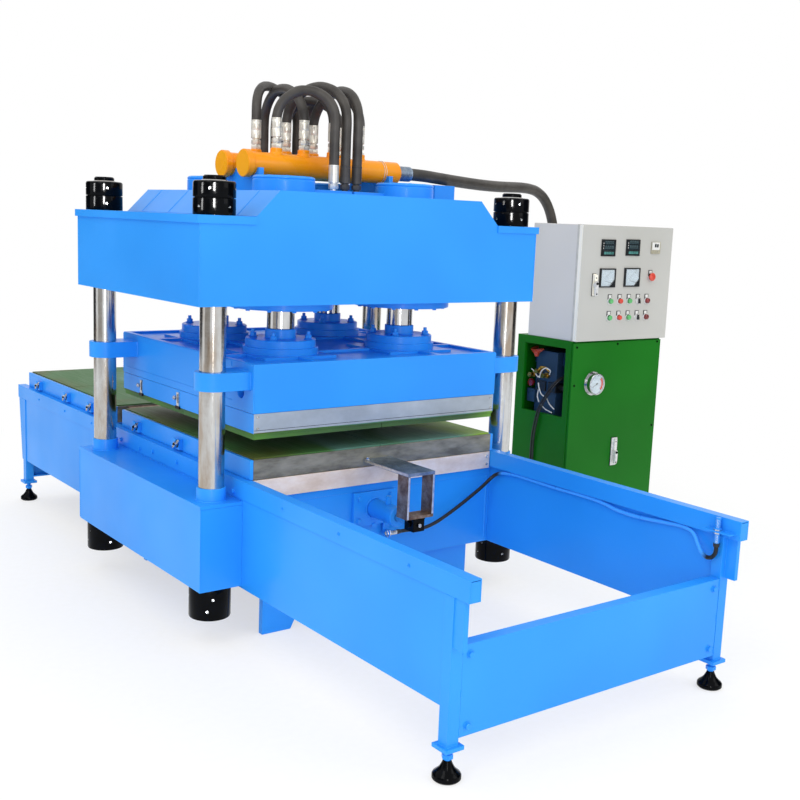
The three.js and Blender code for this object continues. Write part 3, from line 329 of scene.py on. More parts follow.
@dataclass(frozen=True)
class SheetCoat(Finish):
    """Release-coated mould sheet: thin green film over rolled steel, baked unevenly from grey to lime."""

    grey: str
    green: str
    olive: str
    lime: str
    cloud: float = 520
    half: float = 550
    rolling: tuple[float, float, float] = (160, 3, 3)
    roughness: float = 0.5

    def wire(self, shader: Shader) -> None:
        """Colour the film in wide soft fields from side to side, with fine rolling lines along X.

        Args:
            shader: shader that takes the finish.
        """
        fields = add(shader.tree, "ShaderNodeTexNoise", {
            "Scale": per_metre(self.cloud), "Detail": 2, "Distortion": 0.6,
        }, {"Vector": shader.place})
        parts = add(shader.tree, "ShaderNodeSeparateXYZ", {}, {"Vector": shader.place})
        across = add(shader.tree, "ShaderNodeMapRange", {
            "From Min": -self.half * MM, "From Max": self.half * MM, "To Min": 0, "To Max": 0.4,
        }, {"Value": parts.outputs["Y"]})
        baked = add(shader.tree, "ShaderNodeMath", {"operation": "MULTIPLY_ADD", 1: 0.6},
                    {0: fields.outputs["Fac"], 2: across.outputs["Result"]})
        stops = ((0.24, self.olive), (0.33, self.green), (0.43, self.green), (0.5, self.grey),
                 (0.63, self.grey), (0.71, self.lime))
        marks = add(shader.tree, "ShaderNodeMapping", {"Scale": per_metre(self.rolling)},
                    {"Vector": shader.place})
        lines = add(shader.tree, "ShaderNodeTexNoise", {"Scale": 1, "Detail": 3},
                    {"Vector": marks.outputs["Vector"]}).outputs["Fac"]
        shader.drive(baked.outputs[0], stops, lines, (self.roughness - 0.1, self.roughness + 0.12), lines,
                     (0.12, 0.0003))
        shader.set({"Metallic": 0.08, "Specular IOR Level": 0.2})


@dataclass(frozen=True)
class Clear(Finish):
    """Pressed clear glass or acrylic: thin, almost colourless, with sharp reflections."""

    tint: str = "#F4F7F8"
    dust: float = 14

    def wire(self, shader: Shader) -> None:
        """Let the film of dust on the glass change its roughness only.

        Args:
            shader: shader that takes the finish.
        """
        film = add(shader.tree, "ShaderNodeTexNoise", {"Scale": per_metre(self.dust), "Detail": 3},
                   {"Vector": shader.place})
        rub = add(shader.tree, "ShaderNodeMapRange", {
            "From Min": PATTERN_LOW, "From Max": PATTERN_HIGH, "To Min": 0.02, "To Max": 0.1,
        }, {"Value": film.outputs["Fac"]})
        shader.tree.links.new(rub.outputs["Result"], shader.sockets["Roughness"])
        shader.set({"Base Color": linear(self.tint), "Transmission Weight": 0.92, "IOR": 1.49})


# Sprayed alkyd enamel on steel plate: clean, even and softly glossy
BLUE = Enamel("Sprayed_Enamel_Sky_Blue", "blue_paint", "#2794F2", "#238DEA", "#2C9AF9")
# The same enamel in leaf green on folded cabinet sheet, a little duller than the frame
GREEN = Enamel("Sprayed_Enamel_Leaf_Green", "green_paint", "#0C6C10", "#0A650E", "#0F7314", 0.4,
               coat=0, specular=0.15)
# Enamel over the pipes: thick, warm and very glossy
ORANGE = Enamel("Sprayed_Enamel_Orange", "orange_paint", "#FC980A", "#F38F07", "#FFA415", 0.28, 300,
                coat=0.15)
# The pipes' near ends, which face the light, drawn in a yellower, lighter orange: painted light
ORANGE_PAINTED_LIGHT = Enamel("Sprayed_Enamel_Orange_Painted_Light", "orange_paint", "#FFAA05", "#FBA303", "#FFB213", 0.28, 300)
# Baked polyester powder coat on cabinet sheet: pale warm grey with a fine texture and low gloss
GREY = Enamel("Powder_Coat_Pale_Grey", "grey_enamel", "#DAD6CE", "#D5D1C9", "#DFDBD3", 0.46, peel=5, coat=0)
# Near white: the lock plate's own colour, and on the door's near folded edge a painted highlight
LOCK_WHITE_AND_EDGE_HIGHLIGHT = Enamel("Powder_Coat_Lock_White_And_Edge_Highlight", "grey_enamel", "#FFF8E6", "#FBF4E2", "#FFFBEC", 0.4,
                    peel=5, coat=0)
# The box's powder coat drawn darker on the door: painted shade that takes back the extra light falling on the
# door's face
DOOR_GREY_PAINTED_SHADE = Enamel("Powder_Coat_Door_Grey_Painted_Shade", "grey_enamel", "#BBBBB6", "#B7B7B1", "#BFBFBA", 0.46,
                   peel=5, coat=0)
# Hard chromed and ground round bar: mirror bands along the length and brown oil stains
GROUND = Steel("Ground_Round_Steel", "ground_steel", "#AB9D8E", "#C0BEBB", "#D2D4D5", 0.17, 0.04,
               (70, 70, 260), (60, 60, 3), relief=0.006)
# Polished chrome rod: brighter than the columns and without stains
CHROME = Steel("Chromed_Rod", "ground_steel", "#B9BBBD", "#CBCCCE", "#D9DADB", 0.12, 0.05,
               (90, 90, 300), (60, 60, 3), relief=0.04)
# Hot rolled plate with mill scale and a bloom of rust: brown-grey and almost dull
RAW = Steel("Mill_Scale_Steel", "raw_steel", "#5E463A", "#87705F", "#A79788", 0.5, 0.14,
            (46, 46, 46), (5, 5, 5), 0.75, 0.35, 0.0008)
# Flame cut edges ground back: bright stripes on the same plate
CUT_EDGE = Steel("Ground_Cut_Edge", "raw_steel", "#CFCAC4", "#E6E2DC", "#F6F4F0", 0.36, 0.1,
                 (18, 18, 18), (2.5, 2.5, 30), 0.95, 0.2)
# Planed table plate, dulled by heat and oil: brown-grey with darker patches
TABLE = Steel("Planed_Table_Steel", "table_steel", "#63625A", "#807F75", "#919085", 0.46, 0.1,
              (150, 110, 34), (300, 300, 5), 0.45, 0.15, 0.0005)
# Milled heating plate: cool grey with fine lines along its edge
PLATE = Steel("Milled_Heating_Plate", "heating_plate", "#98A2AC", "#A6B1BC", "#B4BFC9", 0.4, 0.06,
              (240, 240, 160), (300, 300, 4), 0.5, 0.08, 0.0004)
# The lower plate has browned in use
LOWER_PLATE = Steel("Browned_Heating_Plate", "heating_plate", "#E0CCB9", "#EDDCCC", "#F6EADF", 0.46, 0.08,
                    (120, 120, 60), (300, 300, 4), 0.5, 0.1, 0.0004)
# Zinc plated steel with yellow passivation: satin and slightly golden
ZINC = Steel("Passivated_Zinc", "zinc_fitting", "#E0DBCC", "#E8E4D8", "#F0EDE4", 0.34, 0.03,
             (40, 40, 40), (8, 8, 8), 0.6, 0.01)
# Bright zinc on screws and clips: cooler and cleaner
BRIGHT = Steel("Bright_Zinc", "zinc_fitting", "#A9ABAD", "#C6C8CA", "#E2E3E4", 0.24, 0.08,
               (14, 14, 14), (2.5, 2.5, 2.5), 1, 0.06)
# Lock levers: chrome over a blasted casting, silky and almost white
LEVER = Steel("Satin_Chromed_Lever", "zinc_fitting", "#DADAD8", "#E6E6E5", "#F2F2F1", 0.5, 0.05,
              (14, 14, 14), (2.5, 2.5, 2.5), 0.5, 0.05)
# Turned brass: warm yellow with fine turning lines
BRASS = Steel("Turned_Brass", "brass", "#8D6B2C", "#B8923F", "#D8B764", 0.28, 0.08,
              (12, 12, 12), (2, 2, 2), 1, 0.1)
# Black oxide under a coat of oil: near black with hard narrow highlights
BLACK = Moulded("Oiled_Black_Oxide", "black_oxide", "#05070B", "#020305", 0.11, 4, 0.02, specular=0.08)
# Blued top plate of the pull bracket: heat has left it slate blue
BLUED = Steel("Blued_Plate_Steel", "raw_steel", "#5E6D80", "#8393A6", "#A5B2C0", 0.36, 0.1,
              (60, 60, 60), (40, 3, 3), 0.85, 0.12)
# Release film on the mould sheets
SHEET = SheetCoat("Release_Coated_Mould_Sheet", "mould_sheet", "#5A867C", "#3F6D3A", "#525B27", "#86AB3B")
# The same film drawn darker for the sheet under the platen, which faces down into shade: painted shade
SHEET_PAINTED_SHADE = SheetCoat("Release_Coated_Upper_Sheet_Painted_Shade", "mould_sheet", "#3F5C3A", "#44693A", "#4F7F36", "#68993C")
# Fabric-wrapped hydraulic hose: dull brown-black with a shallow wrap texture
RUBBER = Moulded("Wrapped_Hose_Rubber", "hose_rubber", "#45413C", "#332F2B", 0.5, 6, 0.3)
# PVC cable sheath: smooth black with a soft shine
SHEATH = Moulded("PVC_Cable_Sheath", "cable_sheath", "#1B1D20", "#121316", 0.38, 2.5, 0.06)
# The sensor cable was clipped to the rail before the frame was sprayed
CABLE = SprayedSheath("Oversprayed_Cable_Sheath", "cable_sheath", "#1B1D20", "#3DA2FF", 612, 1640)
# Moulded ABS in the panel's black parts
BLACK_ABS = Moulded("Moulded_ABS_Black", "black_plastic", "#1E2225", "#14171A", 0.32, 1.6, 0.08)
# Sensing face of the end sensor: moulded in dull orange
ORANGE_CAP = Moulded("Moulded_Cap_Orange", "red_plastic", "#E08A5A", "#C87448", 0.36, 1.6, 0.05)
# Moulded caps of the push buttons: saturated and shiny
RED_CAP = Moulded("Moulded_Cap_Red", "red_plastic", "#E0503F", "#CC4030", 0.3, 1.6, 0.05, 0.3)
DARK_RED_CAP = Moulded("Moulded_Lens_Dark_Red", "red_plastic", "#8E1218", "#5E0A10", 0.16, 1.6, 0.04, 0.8)
GREEN_CAP = Moulded("Moulded_Cap_Green", "green_plastic", "#6CC078", "#5AB067", 0.3, 1.6, 0.05, 0.3)
# Housing of the timer, yellowed a little by the warm panel
PUTTY = Moulded("Moulded_ABS_Putty", "white_plastic", "#B3AE9A", "#A29D88", 0.42, 1.6, 0.05)
WHITE_ABS = Moulded("Moulded_ABS_White", "white_plastic", "#E6E6E2", "#D6D6D2", 0.4, 1.6, 0.05)
# Printed dial card: matt white paper with a faint blue cast
DIAL = Moulded("Printed_Dial_Card", "white_plastic", "#E3F0F8", "#D8E6F0", 0.55, 2, 0.02)
# Back-lit display window, unlit: dark green glassy plastic
DISPLAY = Moulded("Tinted_Display_Window", "black_plastic", "#26343A", "#1C272C", 0.14, 1.6, 0.02, 0.9)
DISPLAY_BAND = Moulded("Tinted_Keypad_Band", "green_plastic", "#4E8C86", "#3C726D", 0.3, 1.6, 0.04)
# Unlit digits behind the tinted window show as a dull grey green
DIGIT = Moulded("Unlit_Display_Digit", "green_plastic", "#51666A", "#45595D", 0.3, 1.6, 0.02)
GLASS = Clear("Pressed_Clear_Glass", "clear_glass")
# Extruded rubber seal between the control box and its door
SEAL = Moulded("Extruded_Door_Seal", "cable_sheath", "#CFCBC0", "#C2BEB3", 0.6, 3, 0.1)
# Soft PVC wire insulation
WHITE_WIRE = Moulded("PVC_Wire_White", "white_plastic", "#ECEBE4", "#D8D6CC", 0.42, 2, 0.05)
RED_WIRE = Moulded("PVC_Wire_Red", "red_plastic", "#C4472F", "#A8371F", 0.42, 2, 0.05)
VALVE_BLUE = Enamel("Sprayed_Enamel_Dark_Blue", "blue_paint", "#2B465F", "#243C53", "#365672", 0.38)


# Mesh building, in millimetres


class Shape:
    """Mesh parts of one piece, in millimetres, until the piece is fitted to the model."""

    def __init__(self) -> None:
        """Start with an empty mesh and the first skin."""
        self.mesh = bmesh.new()
        self.skin = 0

    def use(self, skin: int) -> "Shape":
        """Choose the skin of what is added next."""
        self.skin = skin
        return self

    def face(self, corners: Sequence[bmesh.types.BMVert]) -> None:
        """Add one face unless its corners fall together.

        Args:
            corners: its corners in order.
        """
        corners = list(dict.fromkeys(corners))
        if len(corners) > 2:
            made = self.mesh.faces.new(corners)
            made.material_index = self.skin
            made.smooth = True

    def box(self, x: Span, y: Span, z: Span) -> "Shape":
        """Add a box.

        Args:
            x: its two ends along X.
            y: its two ends along Y.
            z: its two ends along Z.

        Returns:
            This shape.
        """
        corner = [self.mesh.verts.new((a, b, c)) for a in x for b in y for c in z]
        for side in ((0, 1, 3, 2), (4, 6, 7, 5), (0, 4, 5, 1), (2, 3, 7, 6), (0, 2, 6, 4), (1, 5, 7, 3)):
            self.face([corner[i] for i in side])
        return self

    def turned(self, profile: Sequence[Span], place: Point, along: Point = Z, sides: int = 48,
               closed: bool = False, twist: float = 0) -> "Shape":
        """Add a shape turned about a line.

        Args:
            profile: pairs of radius and distance along the line.
            place: where the line starts.
            along: direction of the line.
            sides: facets round it.
            closed: True for a ring, whose last pair joins the first.
            twist: turn of the facets, in degrees.

        Returns:
            This shape.
        """
        w = Vector(along).normalized()
        u = Vector((w.y, w.z, w.x)) if max(map(abs, w)) > 0.999 else w.orthogonal().normalized()
        v = w.cross(u)
        start = math.radians(twist)
        turns = [(math.cos(start + 2 * math.pi * k / sides), math.sin(start + 2 * math.pi * k / sides))
                 for k in range(sides)]
        rings = []
        for radius, height in profile:
            centre = Vector(place) + w * height
            if radius < 1e-6:
                rings.append([self.mesh.verts.new(centre)])
            else:
                rings.append([self.mesh.verts.new(centre + (u * c + v * s) * radius) for c, s in turns])
        bands = list(zip(rings, rings[1:])) + ([(rings[-1], rings[0])] if closed else [])
        for a, b in bands:
            for k in range(sides):
                n = (k + 1) % sides
                self.face([a[k % len(a)], a[n % len(a)], b[n % len(b)], b[k % len(b)]])
        if not closed:
            self.face(rings[0][::-1])
            self.face(rings[-1])
        return self

    def drum(self, radius: float, span: Span, place: Point, along: Point = Z, sides: int = 48,
             edge: float = 0, twist: float = 0) -> "Shape":
        """Add a round bar.

        Args:
            radius: its radius.
            span: its two ends along the line.
            place: where the line starts.
            along: direction of the line.
            sides: facets round it.
            edge: how far both rims are broken.
            twist: turn of the facets, in degrees.

        Returns:
            This shape.
        """
        low, high = span
        profile = [(radius - edge, low), (radius, low + edge), (radius, high - edge), (radius - edge, high)]
        return self.turned(profile if edge else profile[1:3], place, along, sides, twist=twist)

    def ring(self, inner: float, outer: float, span: Span, place: Point, along: Point = Z, sides: int = 48,
             edge: float = 0) -> "Shape":
        """Add a bush: a tube with square ends.

        Args:
            inner: radius of its bore.
            outer: its outer radius.
            span: its two ends along the line.
            place: where the line starts.
            along: direction of the line.
            sides: facets round it.
            edge: how far its outer rims are broken.

        Returns:
            This shape.
        """
        low, high = span
        profile = [(inner, low), (outer - edge, low), (outer, low + edge), (outer, high - edge),
                   (outer - edge, high), (inner, high)]
        return self.turned(list(dict.fromkeys(profile)), place, along, sides, closed=True)

    def prism(self, outline: Sequence[Span], span: Span, along: Point = Z) -> "Shape":
        """Add an outline pushed along an axis.

        Args:
            outline: corners in the other two axes, in order.
            span: its two ends along the axis.
            along: the axis.

        Returns:
            This shape.
        """
        order = {X: (2, 0, 1), Y: (0, 2, 1), Z: (0, 1, 2)}[along]
        low, high = [[self.mesh.verts.new([(a, b, height)[i] for i in order]) for a, b in outline]
                     for height in span]
        self.face(low[::-1])
        self.face(high)
        for k in range(len(outline)):
            n = (k + 1) % len(outline)
            self.face([low[k], low[n], high[n], high[k]])
        return self

    def tube(self, points: Sequence[Point], radii: float | Sequence[float], sides: int = 10) -> "Shape":
        """Add a round line through points.

        Args:
            points: places on its centreline.
            radii: its radius, or one for each point.
            sides: facets round it.

        Returns:
            This shape.
        """
        line = [Vector(p) for p in points]
        sizes = [radii] * len(line) if isinstance(radii, (int, float)) else list(radii)
        side = (line[1] - line[0]).orthogonal().normalized()
        rings = []
        for i, centre in enumerate(line):
            ahead = (line[min(i + 1, len(line) - 1)] - line[max(i - 1, 0)]).normalized()
            side = (side - ahead * side.dot(ahead)).normalized()
            up = ahead.cross(side)
            rings.append([self.mesh.verts.new(centre + (side * math.cos(t) + up * math.sin(t)) * sizes[i])
                          for t in (2 * math.pi * k / sides for k in range(sides))])
        self.face(rings[0][::-1])
        self.face(rings[-1])
        for a, b in zip(rings, rings[1:]):
            for k in range(sides):
                n = (k + 1) % sides
                self.face([a[k], a[n], b[n], b[k]])
        return self

    def weld(self, start: Point, end: Point, size: float = 4, step: float = 9) -> "Shape":
        """Add a fillet weld: a bead of small overlapping ripples.

        Args:
            start: one end of the bead.
            end: its other end.
            size: radius of the bead.
            step: length of one ripple and the next.

        Returns:
            This shape.
        """
        a, b = Vector(start), Vector(end)
        count = max(4, int((b - a).length / step) * 2)
        points = [tuple(a.lerp(b, i / count)) for i in range(count + 1)]
        radii = [size * (0.78 + 0.22 * (i % 2)) * (0.94 + 0.06 * math.sin(i * 1.7)) for i in range(count + 1)]
        radii[0] = radii[-1] = size * 0.4
        return self.tube(points, radii, 8)

    def ring_weld(self, radius: float, place: Point, size: float = 3.5) -> "Shape":
        """Add a weld bead round an upright bar.

        Args:
            radius: radius of its middle line.
            place: centre of the ring.
            size: radius of the bead.

        Returns:
            This shape.
        """
        count = int(radius * 0.9)
        x, y, z = place
        points = [(*around((x, y), radius, 360 * k / count), z) for k in range(count + 1)]
        return self.tube(points, [size * (0.8 + 0.2 * (k % 2)) for k in range(count + 1)], 8)

    def bolt(self, place: Point, along: Point, across: float, height: float, washer: bool = True) -> "Shape":
        """Add a hexagon head.

        Args:
            place: where its underside meets the surface.
            along: the way it points out of the surface.
            across: size over its corners.
            height: height of the head.
            washer: True to put a flat washer under it.

        Returns:
            This shape.
        """
        base = 0
        if washer:
            base = height * 0.25
            self.ring(across * 0.2, across * 0.66, (0, base), place, along, 24, base * 0.3)
        r = across / 2
        top = base + height
        profile = [(0, base), (r, base), (r, base + height * 0.82), (r * 0.86, top), (0, top)]
        return self.turned(profile, place, along, 6, twist=15)

    def screw(self, place: Point, along: Point, radius: float, height: float) -> "Shape":
        """Add a round cap screw with a socket in its head.

        Args:
            place: where its underside meets the surface.
            along: the way it points out of the surface.
            radius: radius of its head.
            height: height of its head.

        Returns:
            This shape.
        """
        profile = [(0, 0), (radius, 0), (radius, height * 0.8), (radius * 0.88, height),
                   (radius * 0.5, height), (radius * 0.45, height * 0.4), (0, height * 0.4)]
        return self.turned(profile, place, along, 20)

    def node(self, name: str) -> "Shape":
        """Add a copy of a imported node, welded, with its flat faces whole again.

        Args:
            name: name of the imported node.

        Returns:
            This shape.
        """
        source = bmesh.new()
        source.from_mesh(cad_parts[name].data)
        bmesh.ops.remove_doubles(source, verts=source.verts, dist=2e-5)
        bmesh.ops.dissolve_limit(source, angle_limit=math.radians(0.6), verts=source.verts,
                                 edges=source.edges)
        source.verts.ensure_lookup_table()
        made = [self.mesh.verts.new(v.co / MM) for v in source.verts]
        for f in source.faces:
            self.face([made[v.index] for v in f.verts])
        source.free()
        return self

    def object(self, name: str) -> bpy.types.Object:
        """Make the Blender object of this shape, in metres.

        Args:
            name: name of the object.

        Returns:
            The object, linked to the scene.
        """
        bmesh.ops.recalc_face_normals(self.mesh, faces=self.mesh.faces)
        self.mesh.transform(Matrix.Scale(MM, 4))
        data = bpy.data.meshes.new(name)
        self.mesh.to_mesh(data)
        self.mesh.free()
        made = bpy.data.objects.new(name, data)
        bpy.context.scene.collection.objects.link(made)
        return made


# Faces that meet at more than this angle keep a sharp edge
CREASE = math.radians(33)


def fit(shape: Shape, name: str, body: Body | str, skins: Sequence[Finish], replaces: Sequence[str] = (),
        edge: float = 1.2, cutter: Shape | None = None) -> bpy.types.Object:
    """Turn a shape into a finished piece on its body.

    Args:
        shape: mesh parts in millimetres.
        name: name of the piece.
        body: body that it rides on.
        skins: finishes, in the order of the shape's skins.
        replaces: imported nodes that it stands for.
        edge: width of the broken edges, in millimetres, or 0.
        cutter: shape to take away, its skins added after the others.

    Returns:
        The piece.
    """
    made = shape.object(name)
    tools = [] if cutter is None else [cutter.object(name + "_cutter")]
    for target in (made, *tools):
        for skin in skins:
            target.data.materials.append(skin.material())
    for tool in tools:
        cut = made.modifiers.new("Cut", "BOOLEAN")
        cut.object = tool
        cut.operation = "DIFFERENCE"
        cut.solver = "EXACT"
        graph = bpy.context.evaluated_depsgraph_get()
        data = bpy.data.meshes.new_from_object(made.evaluated_get(graph))
        made.modifiers.clear()
        made.data = data
        bpy.data.objects.remove(tool)
    made.data.polygons.foreach_set("use_smooth", [True] * len(made.data.polygons))
    made.data.set_sharp_from_angle(angle=CREASE)
    if edge:
        rim = made.modifiers.new("Broken edges", "BEVEL")
        rim.width = edge * MM
        rim.segments = 2
        rim.limit_method = "ANGLE"
        rim.angle_limit = CREASE
        rim.harden_normals = True
    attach(made, body.value if isinstance(body, Body) else body)
    if replaces:
        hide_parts(*replaces)
    return made


def pairs(x: float, y: float) -> list[Span]:
    """Give the four places mirrored over both axes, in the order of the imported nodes' numbers."""
    return [(x, -y), (x, y), (-x, -y), (-x, y)]


def mirror(side: int, a: float, b: float) -> Span:
    """Give two distances from the middle as a span on one side, its low end first."""
    low, high = sorted((side * a, side * b))
    return (low, high)


def around(centre: Span, radius: float, degrees: float) -> Span:
    """Give the point at this radius and angle round a centre."""
    turn = math.radians(degrees)
    return (centre[0] + radius * math.cos(turn), centre[1] + radius * math.sin(turn))


def thread(low: float, high: float, radius: float, root: float, pitch: float = 3) -> list[Span]:
    """Give the profile of a screw thread, coarser than the real one so that it shows.

    Args:
        low: where it starts.
        high: where it ends at the latest.
        radius: radius over its crests.
        root: radius at its roots.
        pitch: distance between two crests.

    Returns:
        Pairs of radius and distance.
    """
    count = math.ceil((high - low) / pitch)
    return [spot for k in range(count)
            for spot in ((radius, low + k * pitch), (root, low + (k + 0.5) * pitch))]


def smooth_line(points: Sequence[Point], steps: int) -> list[Point]:
    """Follow points with a centripetal Catmull-Rom curve.

    Args:
        points: places that the curve goes through.
        steps: pieces between two places.

    Returns:
        Close points on the curve.
    """
    line = [Vector(p) for p in points]
    line = [line[0] * 2 - line[1]] + line + [line[-1] * 2 - line[-2]]
    found = []
    for a, b, c, d in zip(line, line[1:], line[2:], line[3:]):
        ta, tb, tc = [max((q - p).length, 1e-6) ** 0.5 for p, q in ((a, b), (b, c), (c, d))]
        start = ((b - a) / ta - (c - a) / (ta + tb) + (c - b) / tb) * tb
        stop = ((c - b) / tb - (d - b) / (tb + tc) + (d - c) / tc) * tb
        for k in range(steps):
            t = k / steps
            found.append(tuple(b + start * t + (3 * (c - b) - 2 * start - stop) * t * t
                               + (2 * (b - c) + start + stop) * t ** 3))
    found.append(tuple(line[-2]))
    return found


# Floor, camera and light


@dataclass
class Studio:
    """Pale floor, white surround, soft lights and the camera."""

    place: Point = (3.8022, -2.38965, 1.5)
    right: Point = (0.5992, 0.7997, 0.0394)
    up: Point = (-0.153, 0.0661, 0.986)
    back: Point = (0.7859, -0.5968, 0.1619)
    lens: float = 49.416
    sky: float = 1.06
    key: float = 48
    fill: float = 30
    front: float = 62
    strips: tuple[float, ...] = (2600, 520)
    line: float = 90
    floor_half: float = 14
    fade: Span = (1.6, 3.6)
    aim: Point = (0, 0.2, 0.8)
    screens: tuple[tuple[Point, float, tuple[str, str]], ...] = (
        ((1, 0, -0.3), 6500, ("#303236", "#3C3E42")), ((-1, 0, -0.35), 6500, ("#303236", "#3C3E42")),
        ((-0.6, 0, 0.8), 6000, ("#A19B94", "#ABA69F")))

    def build(self) -> None:
        """Make the camera first, then the surround, the floor and the lamps."""
        self.camera()
        self.surround()
        self.floor()
        self.lamps()
        bpy.context.scene.view_settings.view_transform = "Standard"

    def camera(self) -> None:
        """Set the camera where the photograph was taken from."""
        data = bpy.data.cameras.new("Camera")
        data.lens = self.lens
        data.sensor_width = 36
        data.clip_end = 100
        made = bpy.data.objects.new("Camera", data)
        turn = Matrix((self.right, self.up, self.back)).transposed().to_4x4()
        made.matrix_world = Matrix.Translation(self.place) @ turn
        bpy.context.scene.collection.objects.link(made)
        bpy.context.scene.camera = made

    def seen(self, tree: bpy.types.NodeTree) -> Socket:
        """Give a factor that is 1 for rays that see the surround: camera, mirror and glass rays.

        Args:
            tree: node tree that takes it.

        Returns:
            The factor's socket.
        """
        path = add(tree, "ShaderNodeLightPath")
        first = add(tree, "ShaderNodeMath", {"operation": "MAXIMUM"},
                    {0: path.outputs["Is Camera Ray"], 1: path.outputs["Is Glossy Ray"]})
        return add(tree, "ShaderNodeMath", {"operation": "MAXIMUM"},
                   {0: first.outputs[0], 1: path.outputs["Is Transmission Ray"]}).outputs[0]

    def surround(self) -> None:
        """White where it is seen, and an even soft light otherwise."""
        world = bpy.data.worlds.new("Surround")
        bpy.context.scene.world = world
        world.use_nodes = True
        tree = world.node_tree
        tree.nodes.clear()
        soft = add(tree, "ShaderNodeBackground", {"Color": linear("#FFFFFF"), "Strength": self.sky})
        white = add(tree, "ShaderNodeBackground", {"Color": linear("#FFFFFF"), "Strength": 1})
        mixed = add(tree, "ShaderNodeMixShader", {}, {
            0: self.seen(tree), 1: soft.outputs[0], 2: white.outputs[0]})
        add(tree, "ShaderNodeOutputWorld", {}, {"Surface": mixed.outputs[0]})

    def floor(self) -> None:
        """A pale floor that takes the shadow and fades to white away from the press."""
        half = self.floor_half / MM
        made = Shape().box((-half, half), (-half, half), (-20, 0)).object("Studio_Floor")
        material = bpy.data.materials.new("Pale_Studio_Floor")
        material.use_nodes = True
        tree = material.node_tree
        tree.nodes.clear()
        place = add(tree, "ShaderNodeTexCoord").outputs["Object"]
        centre = add(tree, "ShaderNodeVectorMath", {"operation": "SUBTRACT", 1: (0, 0.5, 0)}, {0: place})
        far = add(tree, "ShaderNodeVectorMath", {"operation": "LENGTH"}, {0: centre.outputs[0]})
        fade = add(tree, "ShaderNodeMapRange", {
            "From Min": self.fade[0], "From Max": self.fade[1], "To Min": 0.6, "To Max": 1,
            "interpolation_type": "SMOOTHSTEP"}, {"Value": far.outputs["Value"]})
        share = add(tree, "ShaderNodeMath", {"operation": "MULTIPLY"},
                    {0: fade.outputs["Result"], 1: self.seen(tree)})
        grain = add(tree, "ShaderNodeTexNoise", {"Scale": per_metre(30), "Detail": 2}, {"Vector": place})
        tone = add(tree, "ShaderNodeValToRGB", {"stops": ((0.3, "#F6F6F5"), (0.7, "#FAFAFA"))},
                   {"Fac": grain.outputs["Fac"]})
        paint = add(tree, "ShaderNodeBsdfDiffuse", {}, {"Color": tone.outputs["Color"]})
        white = add(tree, "ShaderNodeEmission", {"Color": linear("#FFFFFF"), "Strength": 1})
        mixed = add(tree, "ShaderNodeMixShader", {},
                    {0: share.outputs[0], 1: paint.outputs[0], 2: white.outputs[0]})
        add(tree, "ShaderNodeOutputMaterial", {}, {"Surface": mixed.outputs[0]})
        made.data.materials.append(material)

    def lamp(self, name: str, way: Sequence[float], distance: float, size: Span,
             power: float) -> bpy.types.Object:
        """Hang one soft lamp that looks at the middle of the press.

        Args:
            name: name of the lamp.
            way: its direction from the press, along right, up and back.
            distance: metres from the press.
            size: width and height in metres.
            power: watts.

        Returns:
            The lamp.
        """
        side = Vector(self.right) * way[0] + Vector(self.up) * way[1] + Vector(self.back) * way[2]
        data = bpy.data.lights.new(name, "AREA")
        data.shape = "RECTANGLE"
        data.size, data.size_y = size
        data.energy = power
        made = bpy.data.objects.new(name, data)
        made.location = Vector(self.aim) + side.normalized() * distance
        made.rotation_mode = "QUATERNION"
        made.rotation_quaternion = side.to_track_quat("Z", "Y")
        bpy.context.scene.collection.objects.link(made)
        return made

    def lamps(self) -> None:
        """Light from above the camera and a little to its left, with a weak fill and strips for the gloss."""
        self.lamp("Key", (-0.3, 0.6, 0.8), 6.5, (2, 2.6), self.key)
        self.lamp("Fill", (0.9, 0.35, 0.5), 6.5, (2.4, 2.4), self.fill)
        self.lamp("Front", (0.1, -0.06, 1), 8, (3.2, 2.2), self.front).visible_glossy = False
        self.lamp("Steel_Line", (0.16, 0.05, 1), 7, (0.7, 4), self.line).visible_diffuse = False
        oiled = bpy.data.collections.new("Oiled_Nuts")
        for k, (way, power) in enumerate(zip(((0.08, 0.12, 1), (-0.79, 0.12, 0.62)), self.strips)):
            strip = self.lamp(f"Nut_Line_{k + 1}", way, 7, (0.9, 3.2), power)
            strip.visible_diffuse = False
            strip.light_linking.receiver_collection = oiled
        self.flags()

    def flags(self) -> None:
        """Dark screens that only mirror rays see: they put the dark bands on the round steel."""
        for k, (way, width, tones) in enumerate(self.screens):
            material = bpy.data.materials.new(f"Studio_Screen_Cloth_{k + 1}")
            material.use_nodes = True
            tree = material.node_tree
            tree.nodes.clear()
            weave = add(tree, "ShaderNodeTexNoise", {"Scale": per_metre(4)},
                        {"Vector": add(tree, "ShaderNodeTexCoord").outputs["Object"]})
            tone = add(tree, "ShaderNodeValToRGB", {"stops": ((0.3, tones[0]), (0.7, tones[1]))},
                       {"Fac": weave.outputs["Fac"]})
            glow = add(tree, "ShaderNodeEmission", {"Strength": 1}, {"Color": tone.outputs["Color"]})
            add(tree, "ShaderNodeOutputMaterial", {}, {"Surface": glow.outputs[0]})
            side = Vector(self.right) * way[0] + Vector(self.back) * way[2]
            side.z = 0
            centre = side.normalized() * 7000
            across = Vector((-side.y, side.x, 0)).normalized() * width / 2
            shape = Shape()
            shape.prism([tuple((centre - across)[:2]), tuple((centre + across)[:2]),
                         tuple((centre + across + side * 40)[:2]), tuple((centre - across + side * 40)[:2])],
                        (50, 4200))
            made = shape.object(f"Studio_Screen_{k + 1}")
            made.data.materials.append(material)
            made.visible_camera = made.visible_diffuse = made.visible_shadow = False
            made.visible_transmission = False


# Hoses and cables


